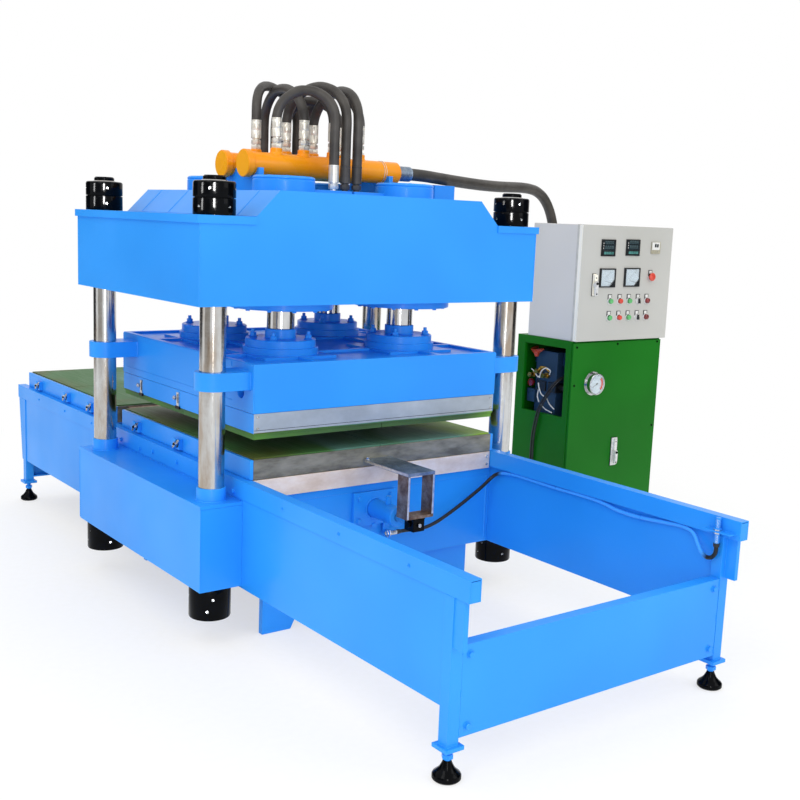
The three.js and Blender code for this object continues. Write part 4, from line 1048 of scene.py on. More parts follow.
@dataclass
class Cords:
    """Eight pressure hoses, the main hose and the sensor cable, each at its real length."""

    hose_radius: float = 19
    main_radius: float = 25
    cable_radius: float = 7
    steps: int = 8
    hoses: list[list[Point]] = field(default_factory=lambda: [
        [(85, -206, 1855.3), (85, -206, 1869), (89, -202, 1893), (102, -192, 1922), (122, -176, 1944),
         (147, -156, 1959), (175, -133, 1964), (203, -111, 1959), (228, -90, 1944), (248, -74, 1922),
         (261, -64, 1893), (265, -60, 1861), (265, -60, 1799), (265, -60, 1745), (265, -60, 1693.3)],
        [(85, -84, 1855.3), (85, -84, 1869), (76, -85, 1902), (51, -86, 1939), (12, -87, 1968),
         (-37, -86, 1987), (-91, -84, 1993), (-145, -79, 1987), (-193, -72, 1968), (-232, -66, 1939),
         (-257, -62, 1902), (-265, -60, 1862), (-265, -60, 1800), (-265, -60, 1745), (-265, -60, 1693.3)],
        [(85, 50, 1855.3), (85, 50, 1869), (77, 47, 1904), (52, 40, 1941), (14, 30, 1971), (-34, 19, 1990),
         (-88, 8, 1997), (-142, 1, 1990), (-191, -4, 1971), (-231, -7, 1941), (-256, -8, 1904),
         (-265, -8, 1862), (-265, -8, 1800), (-265, -8, 1745), (-265, -8, 1693.3)],
        [(85, 178, 1855.3), (85, 178, 1869), (76, 177, 1903), (52, 174, 1940), (13, 169, 1969),
         (-36, 164, 1988), (-90, 158, 1995), (-144, 152, 1988), (-193, 146, 1969), (-232, 142, 1940),
         (-256, 140, 1903), (-265, 139, 1861), (-265, 139, 1799), (-265, 139, 1745), (-265, 139, 1693.3)],
        [(-85, -199, 1855.3), (-85, -199, 1869), (-93, -194, 1925), (-114, -178, 1960), (-144, -151, 1987),
         (-178, -115, 2005), (-209, -72, 2011), (-233, -24, 2005), (-250, 23, 1987), (-259, 62, 1960),
         (-264, 88, 1925), (-265, 97, 1886), (-265, 97, 1812), (-265, 97, 1745), (-265, 97, 1693.3)],
        [(-85, -61, 1855.3), (-85, -61, 1869), (-77, -59, 1904), (-52, -54, 1940), (-13, -46, 1969),
         (35, -37, 1987), (89, -28, 1994), (143, -21, 1987), (192, -15, 1969), (231, -11, 1940),
         (256, -9, 1904), (265, -8, 1863), (265, -8, 1800), (265, -8, 1745), (265, -8, 1693.3)],
        [(-85, 67, 1855.3), (-85, 67, 1869), (-76, 68, 1900), (-51, 70, 1935), (-12, 72, 1963),
         (37, 72, 1980), (91, 70, 1986), (145, 65, 1980), (193, 59, 1963), (232, 52, 1935), (257, 47, 1900),
         (265, 45, 1861), (265, 45, 1799), (265, 45, 1745), (265, 45, 1693.3)],
        [(-85, 195, 1855.3), (-85, 195, 1869), (-87, 188, 1893), (-93, 169, 1922), (-104, 142, 1945),
         (-122, 113, 1959), (-147, 86, 1965), (-177, 66, 1959), (-210, 54, 1945), (-238, 48, 1922),
         (-258, 45, 1893), (-265, 45, 1861), (-265, 45, 1799), (-265, 45, 1745), (-265, 45, 1693.3)],
    ])
    main: list[Point] = field(default_factory=lambda: [
        (85, 374.3, 1687), (85, 440, 1687), (78, 520, 1685), (60, 600, 1681), (37, 700, 1676),
        (10, 800, 1672), (-18, 900, 1669), (-50, 1000, 1668), (-88, 1100, 1669), (-130, 1200, 1672),
        (-170, 1300, 1675), (-212, 1400, 1674), (-250, 1490, 1664), (-282, 1570, 1636), (-304, 1632, 1588),
        (-315, 1674, 1520), (-318, 1694, 1440), (-318, 1700, 1350), (-318, 1700, 1220), (-318, 1700, 1080),
        (-318, 1700, 944.3)])
    cable: list[Point] = field(default_factory=lambda: [
        (570, 91.3, 322), (570, 120, 322), (570, 165, 318), (570, 210, 320), (570, 262, 332), (570, 320, 356),
        (570, 380, 385), (570, 440, 417), (571, 495, 449), (574, 532, 476), (586, 551, 496), (610, 558, 507),
        (678, 558, 517), (780, 558, 518), (927, 558, 516), (1065, 558, 518), (1155, 558, 515),
        (1242, 558, 503), (1345, 558, 503), (1462, 558, 513), (1530, 557, 517), (1575, 552, 508),
        (1602, 544, 482), (1624, 538, 458), (1646, 535, 447), (1668, 533, 451), (1682, 532, 466),
        (1685, 532, 481), (1685, 532, 494.7)])
    clips_at: tuple[Span, ...] = ((678, 517), (927, 516), (1345, 503), (1530, 517))
    rail_y: float = 558

    def build(self) -> None:
        """Make the hoses, then the main hose, then the cable with its clips."""
        for k, route in enumerate(self.hoses):
            self.cord(f"Pressure_Hose_{k + 1}", f"hose_{k + 1}", route, self.hose_radius, RUBBER)
        self.cord("Main_Pressure_Hose", "main_hose", self.main, self.main_radius, RUBBER)
        self.cord("Sensor_Cable", "sensor_cable", self.cable, self.cable_radius, CABLE)
        self.clips()

    def cord(self, name: str, node: str, route: Sequence[Point], radius: float, skin: Finish) -> None:
        """Lay one cord along its route as a round curve.

        Args:
            name: name of the piece.
            node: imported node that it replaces.
            route: places it goes through, in millimetres.
            radius: its radius in millimetres.
            skin: its finish.
        """
        line = [Vector(p) * MM for p in smooth_line(route, self.steps)]
        data = bpy.data.curves.new(name, "CURVE")
        data.dimensions = "3D"
        data.bevel_depth = radius * MM
        data.bevel_resolution = 6
        data.use_fill_caps = True
        spline = data.splines.new("POLY")
        spline.points.add(len(line) - 1)
        for point, place in zip(spline.points, line):
            point.co = (*place, 1)
        spline.use_smooth = True
        made = bpy.data.objects.new(name, data)
        bpy.context.scene.collection.objects.link(made)
        data.materials.append(skin.material())
        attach(made, Body.FRAME.value)
        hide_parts(node)

    def clips(self) -> None:
        """Bend small painted clips over the cable along the far rail."""
        shape = Shape()
        for x, z in self.clips_at:
            arc = [around((self.rail_y, z), self.cable_radius + 0.8, angle) for angle in range(-60, 241, 20)]
            shape.tube([(x, *spot) for spot in arc], 1, 6)
            shape.box((x - 4, x + 4), (self.rail_y + 8, self.rail_y + 10), (z - 16, z + 5))
        fit(shape, "Cable_Clips", Body.FRAME, [BLUE], edge=0)


# Columns and base


@dataclass
class Columns:
    """Four round columns, each with a bottom nut and two stacked top nuts."""

    x: float = 471
    y: float = 665
    radius: float = 45
    low: float = 99.7
    high: float = 1606
    nut_radius: float = 73.5
    nut_top: float = 214.7
    top_radius: float = 71.5
    seat: float = 1491.3
    lower_height: float = 54.7
    upper_nut: Span = (1548, 1603)
    shim_radius: float = 66
    hole: float = 5
    hole_depth: float = 15
    hole_rows: tuple[float, ...] = (136, 178, 27, 1578)
    stub: Outline = ((0, 1603), (39, 1603), (39, 1616), (34, 1621), (0, 1622))
    turns: tuple[float, ...] = (0, 25, 27, 60)
    lag: tuple[float, ...] = (72, 30, 42, 10)

    def build(self) -> None:
        """Make the bar and the nuts of each column."""
        first, second, third, fourth = self.hole_rows
        for k, (x, y) in enumerate(pairs(self.x, self.y)):
            name, turn, seat = f"Column_{k + 1}", self.turns[k], self.seat
            bar = Shape().drum(self.radius, (self.low, self.high), (x, y, 0), sides=72, edge=3)
            fit(bar, f"{name}_Bar", Body.FRAME, [GROUND], [f"column_{k + 1}"], edge=0)
            self.nut(f"{name}_Bottom_Nut", (x, y), self.nut_radius, (self.low, self.nut_top), (6, 1.5),
                     ((first, turn - 34), (second, turn - 18)))
            self.nut(f"{name}_Lower_Top_Nut", (x, y), self.top_radius, (seat, seat + self.lower_height),
                     (1.5, 2), ((seat + third, turn - self.lag[k]),))
            self.nut(f"{name}_Upper_Top_Nut", (x, y), self.top_radius, self.upper_nut, (2, 8),
                     ((fourth, turn - 40),))
            end = Shape().turned(self.stub, (x, y, 0))
            end.drum(self.shim_radius, (seat + self.lower_height, self.upper_nut[0]), (x, y, 0))
            fit(end, f"{name}_Top_End", Body.FRAME, [BLACK], edge=0)

    def nut(self, name: str, place: Span, radius: float, span: Span, rims: Span,
            rows: Sequence[Span]) -> None:
        """Make one round nut with rows of spanner holes.

        Args:
            name: name of the piece.
            place: axis of the column.
            radius: outer radius.
            span: low and high ends.
            rims: rounding of the low and the high rim.
            rows: height of each row of four holes and the angle of its first one.
        """
        low, high = span
        a, b = rims
        profile = [(self.radius, low), (radius - a, low), (radius - a * 0.3, low + a * 0.3),
                   (radius, low + a), (radius, high - b), (radius - b * 0.3, high - b * 0.3),
                   (radius - b, high), (self.radius, high)]
        shape = Shape().turned(profile, (*place, 0), sides=72, closed=True)
        holes = Shape().use(1)
        for z, first in rows:
            for k in range(4):
                angle = 90 * k + first
                base = (*around(place, radius - self.hole_depth, angle), z)
                holes.drum(self.hole, (0, 24), base, (*around((0, 0), 1, angle), 0), 16)
        made = fit(shape, name, Body.FRAME, [BLACK, BRIGHT], edge=0, cutter=holes)
        bpy.data.collections["Oiled_Nuts"].objects.link(made)


@dataclass
class BaseBlocks:
    """Two long base blocks with the sleeves that the columns stand in."""

    half: float = 550
    inner: float = 584.3
    outer: float = 746
    low: float = 215
    high: float = 519
    lip: float = 2
    top_thick: float = 12
    bore: float = 45.3
    sleeve_radius: float = 51
    sleeve_top: float = 565
    columns: Columns = field(default_factory=Columns)

    def build(self) -> None:
        """Make both blocks."""
        wall = self.outer - self.lip
        length = (-self.half, self.half)
        bore, rim, top = self.bore, self.sleeve_radius, self.sleeve_top
        sleeve = [(bore, self.high - 4), (rim, self.high - 4), (rim, top - 4), (rim - 1, top - 1),
                  (rim - 3, top), (bore, top)]
        for side, name in ((-1, "near"), (1, "far")):
            under = self.high - self.top_thick
            shape = Shape().box(length, mirror(side, self.inner, wall), (self.low, under - 0.6))
            shape.box(length, mirror(side, self.inner, self.outer), (under, self.high))
            for x in (-self.columns.x, self.columns.x):
                shape.turned(sleeve, (x, side * self.columns.y, 0), sides=72, closed=True)
                shape.ring_weld(rim + 1.5, (x, side * self.columns.y, self.high + 0.5))
            for x in length:
                shape.weld((x, side * wall, self.low + 4), (x, side * wall, under - 2), 1.8)
            fit(shape, f"Base_Block_{name.title()}", Body.FRAME, [BLUE], [f"base_block_{name}"], 2)


@dataclass
class LowerBeam:
    """Lower beam with its leg plates, and the lower heating plate on it."""

    half: float = 535
    width: float = 567.7
    low: float = 207
    high: float = 520
    flange: float = 28
    leg_inset: float = 21
    leg_half: float = 470
    plate_half: float = 553
    screws_y: float = 528
    screws_z: Span = (538, 570)

    def build(self) -> None:
        """Make the beam, its welds and the heating plate."""
        fit(Shape().node("lower_beam"), "Lower_Beam", Body.FRAME, [BLUE], ["lower_beam"], 1.5)
        trim = Shape()
        under = self.high - self.flange
        for end in (-1, 1):
            x = end * self.half
            trim.box(mirror(end, self.half, self.half + 1.2), (-self.width + 4, self.width - 4),
                     (under, self.high - 0.4))
            trim.weld((x, -self.width + 20, under), (x, self.width - 20, under), 2.2)
            for y in (-self.width + 18, self.width - 18):
                trim.weld((x, y, self.low + 6), (x, y, under - 4), 4.5)
            foot = end * (self.half - self.leg_inset)
            trim.weld((foot, -self.leg_half, self.low), (foot, self.leg_half, self.low), 4)
        fit(trim, "Lower_Beam_Welds", Body.FRAME, [BLUE], edge=0.5)
        fit(Shape().node("lower_heating_plate"), "Lower_Heating_Plate", Body.FRAME, [LOWER_PLATE],
            ["lower_heating_plate"], 1.5)
        screws = Shape()
        end_screws(screws, self.plate_half, self.screws_y, self.screws_z)
        fit(screws, "Lower_Plate_Screws", Body.FRAME, [BRIGHT], edge=0)


def end_screws(shape: Shape, half: float, y: float, rows: Span) -> None:
    """Add the socket screws at the four corners of a heating plate's two ends.

    Args:
        shape: shape that takes them.
        half: distance of the ends from the middle.
        y: distance of the screws from the middle.
        rows: heights of the two rows.
    """
    for end in (-1, 1):
        for across in (-y, y):
            for z in rows:
                shape.screw((end * half, across, z), (end, 0, 0), 5, 3.5)


@dataclass
class Bed:
    """Rails, end bars, levelling feet, bolts and the end sensor."""

    face: float = 588
    foot_line: float = 568
    post: float = 20
    near_x: float = 1680
    far_x: float = -1731
    rail_end: float = 1760.4
    rail_far_end: float = -1811.4
    cap_y: Span = (552.2, 583.8)
    cap_z: Span = (528.5, 584)
    foot_plate_top: float = 102.5
    post_top: float = 525
    block_bolts: tuple[Span, ...] = ((-491, 545), (-299, 545), (-175, 556), (41, 556), (300, 545), (491, 545))
    rail_screws: tuple[float, ...] = (-1500, -1150, -820, 820, 1150, 1500)
    screw_z: float = 558
    bar_ends: tuple[tuple[float, int], ...] = ((1699, 1), (-1750, -1))
    bar_bolts: Span = (150, 355)
    bar_bolt_y: float = 520
    sensor_at: Span = (1685, 532)
    gland: Outline = ((7.3, 492), (10, 492), (10.5, 496), (10.5, 504), (7.3, 504))
    pad: Outline = ((0, 0), (36, 0), (41, 5), (41, 15), (38, 20), (30, 26), (21, 36), (14, 50), (12, 56),
                    (0, 56))
    lock_nut: Outline = ((9, 60), (15.5, 60), (17, 62), (17, 73), (15.5, 75), (9, 75))

    def build(self) -> None:
        """Make the rails and bars, then what is bolted and welded to them."""
        for node in ("bed_rail_near", "bed_rail_far", "bed_bar_front", "bed_bar_back"):
            fit(Shape().node(node), node.title(), Body.FRAME, [BLUE], [node], 2)
        caps = Shape()
        for x, end in ((self.rail_end, 1), (self.rail_far_end, -1)):
            for side in (-1, 1):
                caps.box(mirror(end, abs(x) - 4, abs(x)), mirror(side, *self.cap_y), self.cap_z)
        fit(caps, "Bed_Rail_End_Caps", Body.FRAME, [BLUE], edge=0)
        self.welds()
        self.bolts()
        self.sensor()
        for k, (x, side) in enumerate((x, side) for x in (self.near_x, self.far_x) for side in (-1, 1)):
            self.foot(k + 1, x, side * self.foot_line)

    def welds(self) -> None:
        """Run beads where posts, foot plates and bars meet."""
        shape = Shape()
        r = self.post
        corners = ((-r, -r), (r, -r), (r, r), (-r, r), (-r, -r))
        for x in (self.near_x, self.far_x):
            for side in (-1, 1):
                y = side * self.foot_line
                for a, b in zip(corners, corners[1:]):
                    low, high = self.foot_plate_top, self.post_top
                    shape.weld((x + a[0], y + a[1], low), (x + b[0], y + b[1], low), 2.6, 6)
                    shape.weld((x + a[0], y + a[1] * 0.98, high), (x + b[0], y + b[1] * 0.98, high), 2.2, 6)
                for z in (140, 250, 370):
                    out = x + math.copysign(r - 0.5, x)
                    inner = y - side * (r + 0.5)
                    shape.weld((out, inner, z - 12), (out, inner, z + 12), 2.6, 6)
        fit(shape, "Bed_Welds", Body.FRAME, [BLUE], edge=0)

    def bolts(self) -> None:
        """Put bolts on the rails over the base blocks, on the rail ends and on the end bars."""
        shape = Shape()
        for side in (-1, 1):
            y, out = side * self.face, (0, side, 0)
            for x, z in self.block_bolts:
                shape.bolt((x, y, z), out, 17, 6)
            for x in self.rail_screws:
                shape.screw((x, y, self.screw_z), out, 5, 3)
            for x, end in self.bar_ends:
                for z in self.bar_bolts:
                    shape.bolt((x, side * self.bar_bolt_y, z), (end, 0, 0), 19, 7)
        fit(shape, "Bed_Bolts", Body.FRAME, [BLUE], edge=0.4)

    def sensor(self) -> None:
        """Dress the end sensor: threaded barrel, two thin nuts, sensing cap and gland."""
        place = (*self.sensor_at, 0)
        top = 584
        outline = [(0, 498), *thread(500, 583, 8.9, 8.2), (8.9, top), (0, top)]
        barrel = Shape().turned(outline, place, sides=24)
        for z in (537, 547):
            barrel.turned([(8, z), (14, z), (14, z + 4.5), (8, z + 4.5)], place, sides=6, closed=True)
        fit(barrel, "End_Sensor_Barrel", Body.FRAME, [BRIGHT], edge=0)
        cap = Shape().drum(8.6, (top, top + 4.6), place, edge=1, sides=24)
        fit(cap, "End_Sensor_Cap", Body.FRAME, [ORANGE_CAP], edge=0)
        gland = Shape().turned(self.gland, place, sides=24, closed=True)
        fit(gland, "End_Sensor_Gland", Body.FRAME, [BLACK_ABS], edge=0.4)

    def foot(self, number: int, x: float, y: float) -> None:
        """Make one levelling foot: thick black pad, threaded stem and painted lock nut.

        Args:
            number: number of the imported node.
            x: place along the bed.
            y: place across it.
        """
        stem = [(0, 55), *thread(56, 147, 10, 8.8), (10, 147), (8.5, 150), (0, 150)]
        shape = Shape().turned(self.pad, (x, y, 0), sides=60)
        shape.use(1).turned(stem, (x, y, 0), sides=24)
        shape.turned(self.lock_nut, (x, y, 0), sides=6, closed=True)
        node = f"levelling_foot_{number}"
        fit(shape, f"Levelling_Foot_{number}_Screw", node, [BLACK, BLUE], [node], 0.6)


# Tables and the drive that moves them


@dataclass
class Tables:
    """Two mould tables with painted side strips, clamps and four coated sheets each."""

    half: float = 553
    core: float = 545
    strip: float = 558
    low: float = 590.3
    high: float = 660
    far_span: Span = (-1735, -629)
    sheet: float = 5
    sheet_end: float = 8
    sheet_side: float = 3
    joint: float = 1.4
    link_half: float = 500
    link_z: Span = (600.3, 655.3)
    lugs: tuple[float, ...] = (-0.66, 0.025, 0.56)
    lug_z: Span = (598, 638)
    nut_z: float = 621
    wing: tuple[Span, ...] = ((0, 5.6), (7, 5.2), (13, 6.2), (18, 5))

    def build(self) -> None:
        """Make both tables and the link between them."""
        self.table("Near", "mould_table_near", (-self.half, self.half))
        self.table("Far", "mould_table_far", self.far_span)
        far_end, near_end = self.far_span[1], -self.half - 0.3
        link = Shape().box((far_end - 1, near_end), (-self.link_half, self.link_half), self.link_z)
        for x in (far_end + 1.5, near_end - 1.5):
            top = self.link_z[1] - 0.3
            link.weld((x, -self.link_half + 2, top), (x, self.link_half - 2, top), 3)
        fit(link, "Table_Link", Body.SHUTTLE, [RAW], edge=1.5)

    def table(self, name: str, node: str, span: Span) -> None:
        """Make one table.

        Args:
            name: which table.
            node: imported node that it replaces.
            span: its two ends along X.
        """
        low, high = span
        shape = Shape().box(span, (-self.core, self.core), (self.low, self.high))
        fit(shape, f"Table_{name}_Plate", Body.SHUTTLE, [TABLE], [node], 1.8)
        strips = Shape()
        for side in (-1, 1):
            strips.box((low + 0.6, high - 0.6), mirror(side, self.core, self.strip),
                       (self.low + 0.4, self.high + 0.6))
        fit(strips, f"Table_{name}_Side_Strips", Body.SHUTTLE, [BLUE], edge=2)
        self.sheets(name, span)
        self.clamps(name, sum(span) / 2)

    def sheets(self, name: str, span: Span) -> None:
        """Lay four coated sheets with thin joints between them.

        Args:
            name: which table.
            span: its two ends along X.
        """
        middle = sum(span) / 2
        rows = ((span[0] + self.sheet_end, middle - self.joint),
                (middle + self.joint, span[1] - self.sheet_end))
        edge = self.core - self.sheet_side
        shape = Shape()
        for x in rows:
            for y in ((-edge, -self.joint), (self.joint, edge)):
                shape.box(x, y, (self.high - 0.5, self.high + self.sheet))
        fit(shape, f"Table_{name}_Mould_Sheets", Body.SHUTTLE, [SHEET], edge=1)

    def clamps(self, name: str, middle: float) -> None:
        """Set the clamp lugs along both sides, each with a round pad and a wing nut.

        Args:
            name: which table.
            middle: its middle along X.
        """
        blocks, nuts = Shape(), Shape()
        for share in self.lugs:
            for side in (-1, 1):
                x = middle + share * self.half
                out = (0, side, 0)
                blocks.box((x - 15, x + 15), mirror(side, self.strip, self.strip + 16), self.lug_z)
                blocks.drum(22, (0, 7), (x - 24, side * (self.strip + 15), self.nut_z - 1), out, 36, 2.5)
                blocks.box((x - 26, x + 15), mirror(side, self.strip + 14, self.strip + 18), (606, 634))
                seat = (x, side * (self.strip + 14), self.nut_z)
                nuts.use(1).drum(5, (0, 20), seat, out, 16)
                nuts.ring(5, 15, (3, 5.5), seat, out, 24)
                nuts.use(0).turned([(4, 5.5), (10.5, 5.5), (8.5, 16), (4, 16)], seat, out, 20, closed=True)
                for way in (-1, 1):
                    for lift, size in self.wing:
                        spot = (x + way * (7 + lift * 0.9), side * (self.strip + 23),
                                self.nut_z + way * (3 + lift * 0.7))
                        nuts.drum(size, (-2, 2), spot, out, 14, 0.5)
        fit(blocks, f"Table_{name}_Clamp_Lugs", Body.SHUTTLE, [BLUE], edge=1.2)
        fit(nuts, f"Table_{name}_Wing_Nuts", Body.SHUTTLE, [BRIGHT, BLACK], edge=0)


@dataclass
class PullBracket:
    """Raw steel bracket on the near table with a clevis for the push rod."""

    near: float = 553.3
    start: float = 767
    far: float = 828
    y: Span = (-80, 40)
    low: float = 450
    top: float = 619
    thick: float = 10
    top_thick: float = 12
    rod: Span = (-20, 424)
    clevis: Outline = ((-45, 400), (5, 400), (5, 442), (10, 450), (-50, 450), (-45, 442))
    clevis_x: Span = (770.3, 823)
    pin_radius: float = 11
    pin_half: float = 31

    def build(self) -> None:
        """Make the bracket, its bright cut edges, the clevis and the bolts."""
        self.plates()
        self.edges()
        clevis = Shape().prism(self.clevis, self.clevis_x, X)
        clevis.drum(self.pin_radius, (-self.pin_half, self.pin_half), (796, *self.rod), Y, 24, 1.5)
        fit(clevis, "Pull_Bracket_Clevis", Body.SHUTTLE, [BLACK], edge=1.5)
        screws = Shape().bolt((self.near + 13, self.y[0] + self.thick, self.top), Z, 17, 7)
        screws.screw((self.far + 0.2, *self.rod), X, 7, 3)
        fit(screws, "Pull_Bracket_Bolts", Body.SHUTTLE, [BRIGHT], edge=0.3)

    def plates(self) -> None:
        """Make the top plate, two cheeks and the sole, with their welds."""
        y0, y1 = self.y
        under, length = self.top - self.top_thick, (self.start, self.far)
        shape = Shape().use(1).box((self.near, self.far), self.y, (under, self.top)).use(0)
        shape.box(length, (y0, y0 + self.thick), (self.low, under - 0.2))
        shape.box(length, (y1 - self.thick, y1), (self.low, under - 0.2))
        shape.box(length, (y0 + self.thick + 0.2, y1 - self.thick - 0.2), (self.low, self.low + self.thick))
        sole = self.low + self.thick + 1.5
        for y, z in ((y0 + 12, sole), (y1 - 12, sole), (y0 + 12, under - 1.5)):
            shape.weld((self.start + 4, y, z), (self.far - 4, y, z), 3.2)
        shape.weld((self.near + 1, y0 + 4, under - 1), (self.near + 1, y1 - 4, under - 1), 3.5)
        fit(shape, "Pull_Bracket_Plates", Body.SHUTTLE, [RAW, BLUED], ["pull_bracket"], 1)

    def edges(self) -> None:
        """Lay the bright cut faces on the plates' edges that look at the front."""
        y0, y1 = self.y
        end = (self.far - 0.6, self.far + 0.4)
        under = self.top - self.top_thick
        edges = Shape().box((self.near + 6, self.far - 0.5), (y0 - 0.4, y0 + 0.6),
                            (under + 1.5, self.top - 1.5))
        edges.box(end, (y0 + 1, y0 + 8.5), (self.low + 2, under - 1))
        edges.box(end, (y1 - 8.5, y1 - 1), (self.low + 12, under - 1))
        fit(edges, "Pull_Bracket_Cut_Edges", Body.SHUTTLE, [CUT_EDGE], edge=0)


@dataclass
class PushDrive:
    """Push cylinder through the lower beam, its flange plate, port and home sensor, and its rod."""

    y: float = -20
    z: float = 424
    radius: float = 37
    rod_radius: float = 16
    piston_radius: float = 30
    rod_end: float = -639.7
    face: float = 535.3
    plate: float = 550
    plate_half: Span = (95, 65)
    bolt_half: Span = (73, 43)
    port_x: float = 637.5
    sensor: Point = (570, 0, 322)
    gland: Outline = ((0, 71), (8.6, 71), (9, 74), (9, 84), (7.6, 91), (7, 94), (0, 94))
    tube: Outline = ((0, -660), (34, -660), (37, -657), (37, -640), (36, -638), (36, 655), (37, 657),
                     (37, 696), (34, 700), (17, 700), (17, 697), (0, 697))
    port: Outline = ((0, 30), (11, 30), (11, 60), (8, 60), (8, 66.5), (0, 66.5))

    def build(self) -> None:
        """Make the cylinder, the rod and the home sensor."""
        self.cylinder()
        place = (0, self.y, self.z)
        rod = Shape().drum(self.rod_radius, (self.rod_end, 769), place, X, 40, 1.5)
        rod.drum(self.piston_radius, (self.rod_end, -600), place, X, 40, 1)
        fit(rod, "Push_Rod_Bar", Body.SHUTTLE, [CHROME], ["push_rod"], 0)
        self.home_sensor()

    def cylinder(self) -> None:
        """Make the tube with its flange plate, port and sensor bracket, and the bolts."""
        y, z = self.y, self.z
        body = Shape().turned(self.tube, (0, y, z), X, 64)
        wide, tall = self.plate_half
        body.box((self.face, self.plate), (y - wide, y + wide), (z - tall, z + tall))
        count = 44
        ring = [(self.plate + 1, *around((y, z), self.radius + 2, 360 * k / count)) for k in range(count + 1)]
        body.tube(ring, [3.6 * (0.8 + 0.2 * (k % 2)) for k in range(count + 1)], 8)
        body.turned(self.port, (self.port_x, y, z), Z, 24)
        body.box((545, self.plate), (24, 50), (309, 364)).box((545, 584), (29, 34), (309, 335))
        fit(body, "Push_Cylinder_Body", Body.FRAME, [BLUE], ["push_cylinder"], 1.2)
        bolts = Shape()
        for dy, dz in sorted(pairs(*self.bolt_half)):
            bolts.bolt((self.plate, y + dy, z + dz), X, 19, 8)
        bolts.bolt((self.port_x, y, z + 60), Z, 24, 6, False)
        bolts.box((self.plate + 2, self.plate + 4), (y - 10, y + 10), (z - 75, z - 60))
        fit(bolts, "Push_Cylinder_Bolts", Body.FRAME, [BLUE], edge=0.4)

    def home_sensor(self) -> None:
        """Make the home sensor: threaded barrel, two thin nuts and gland."""
        barrel = Shape().turned([(0, 27), *thread(28, 70, 8.9, 8.2), (8.9, 71), (7.6, 72), (0, 72)],
                                self.sensor, Y, 24)
        for at in (24.4, 34.5):
            barrel.turned([(8, at), (14, at), (14, at + 4.4), (8, at + 4.4)], self.sensor, Y, 6, closed=True)
        fit(barrel, "Home_Sensor_Barrel", Body.FRAME, [BRIGHT], edge=0)
        tail = Shape().turned(self.gland, self.sensor, Y, 24)
        fit(tail, "Home_Sensor_Gland", Body.FRAME, [BLACK_ABS], edge=0)


# Upper platen


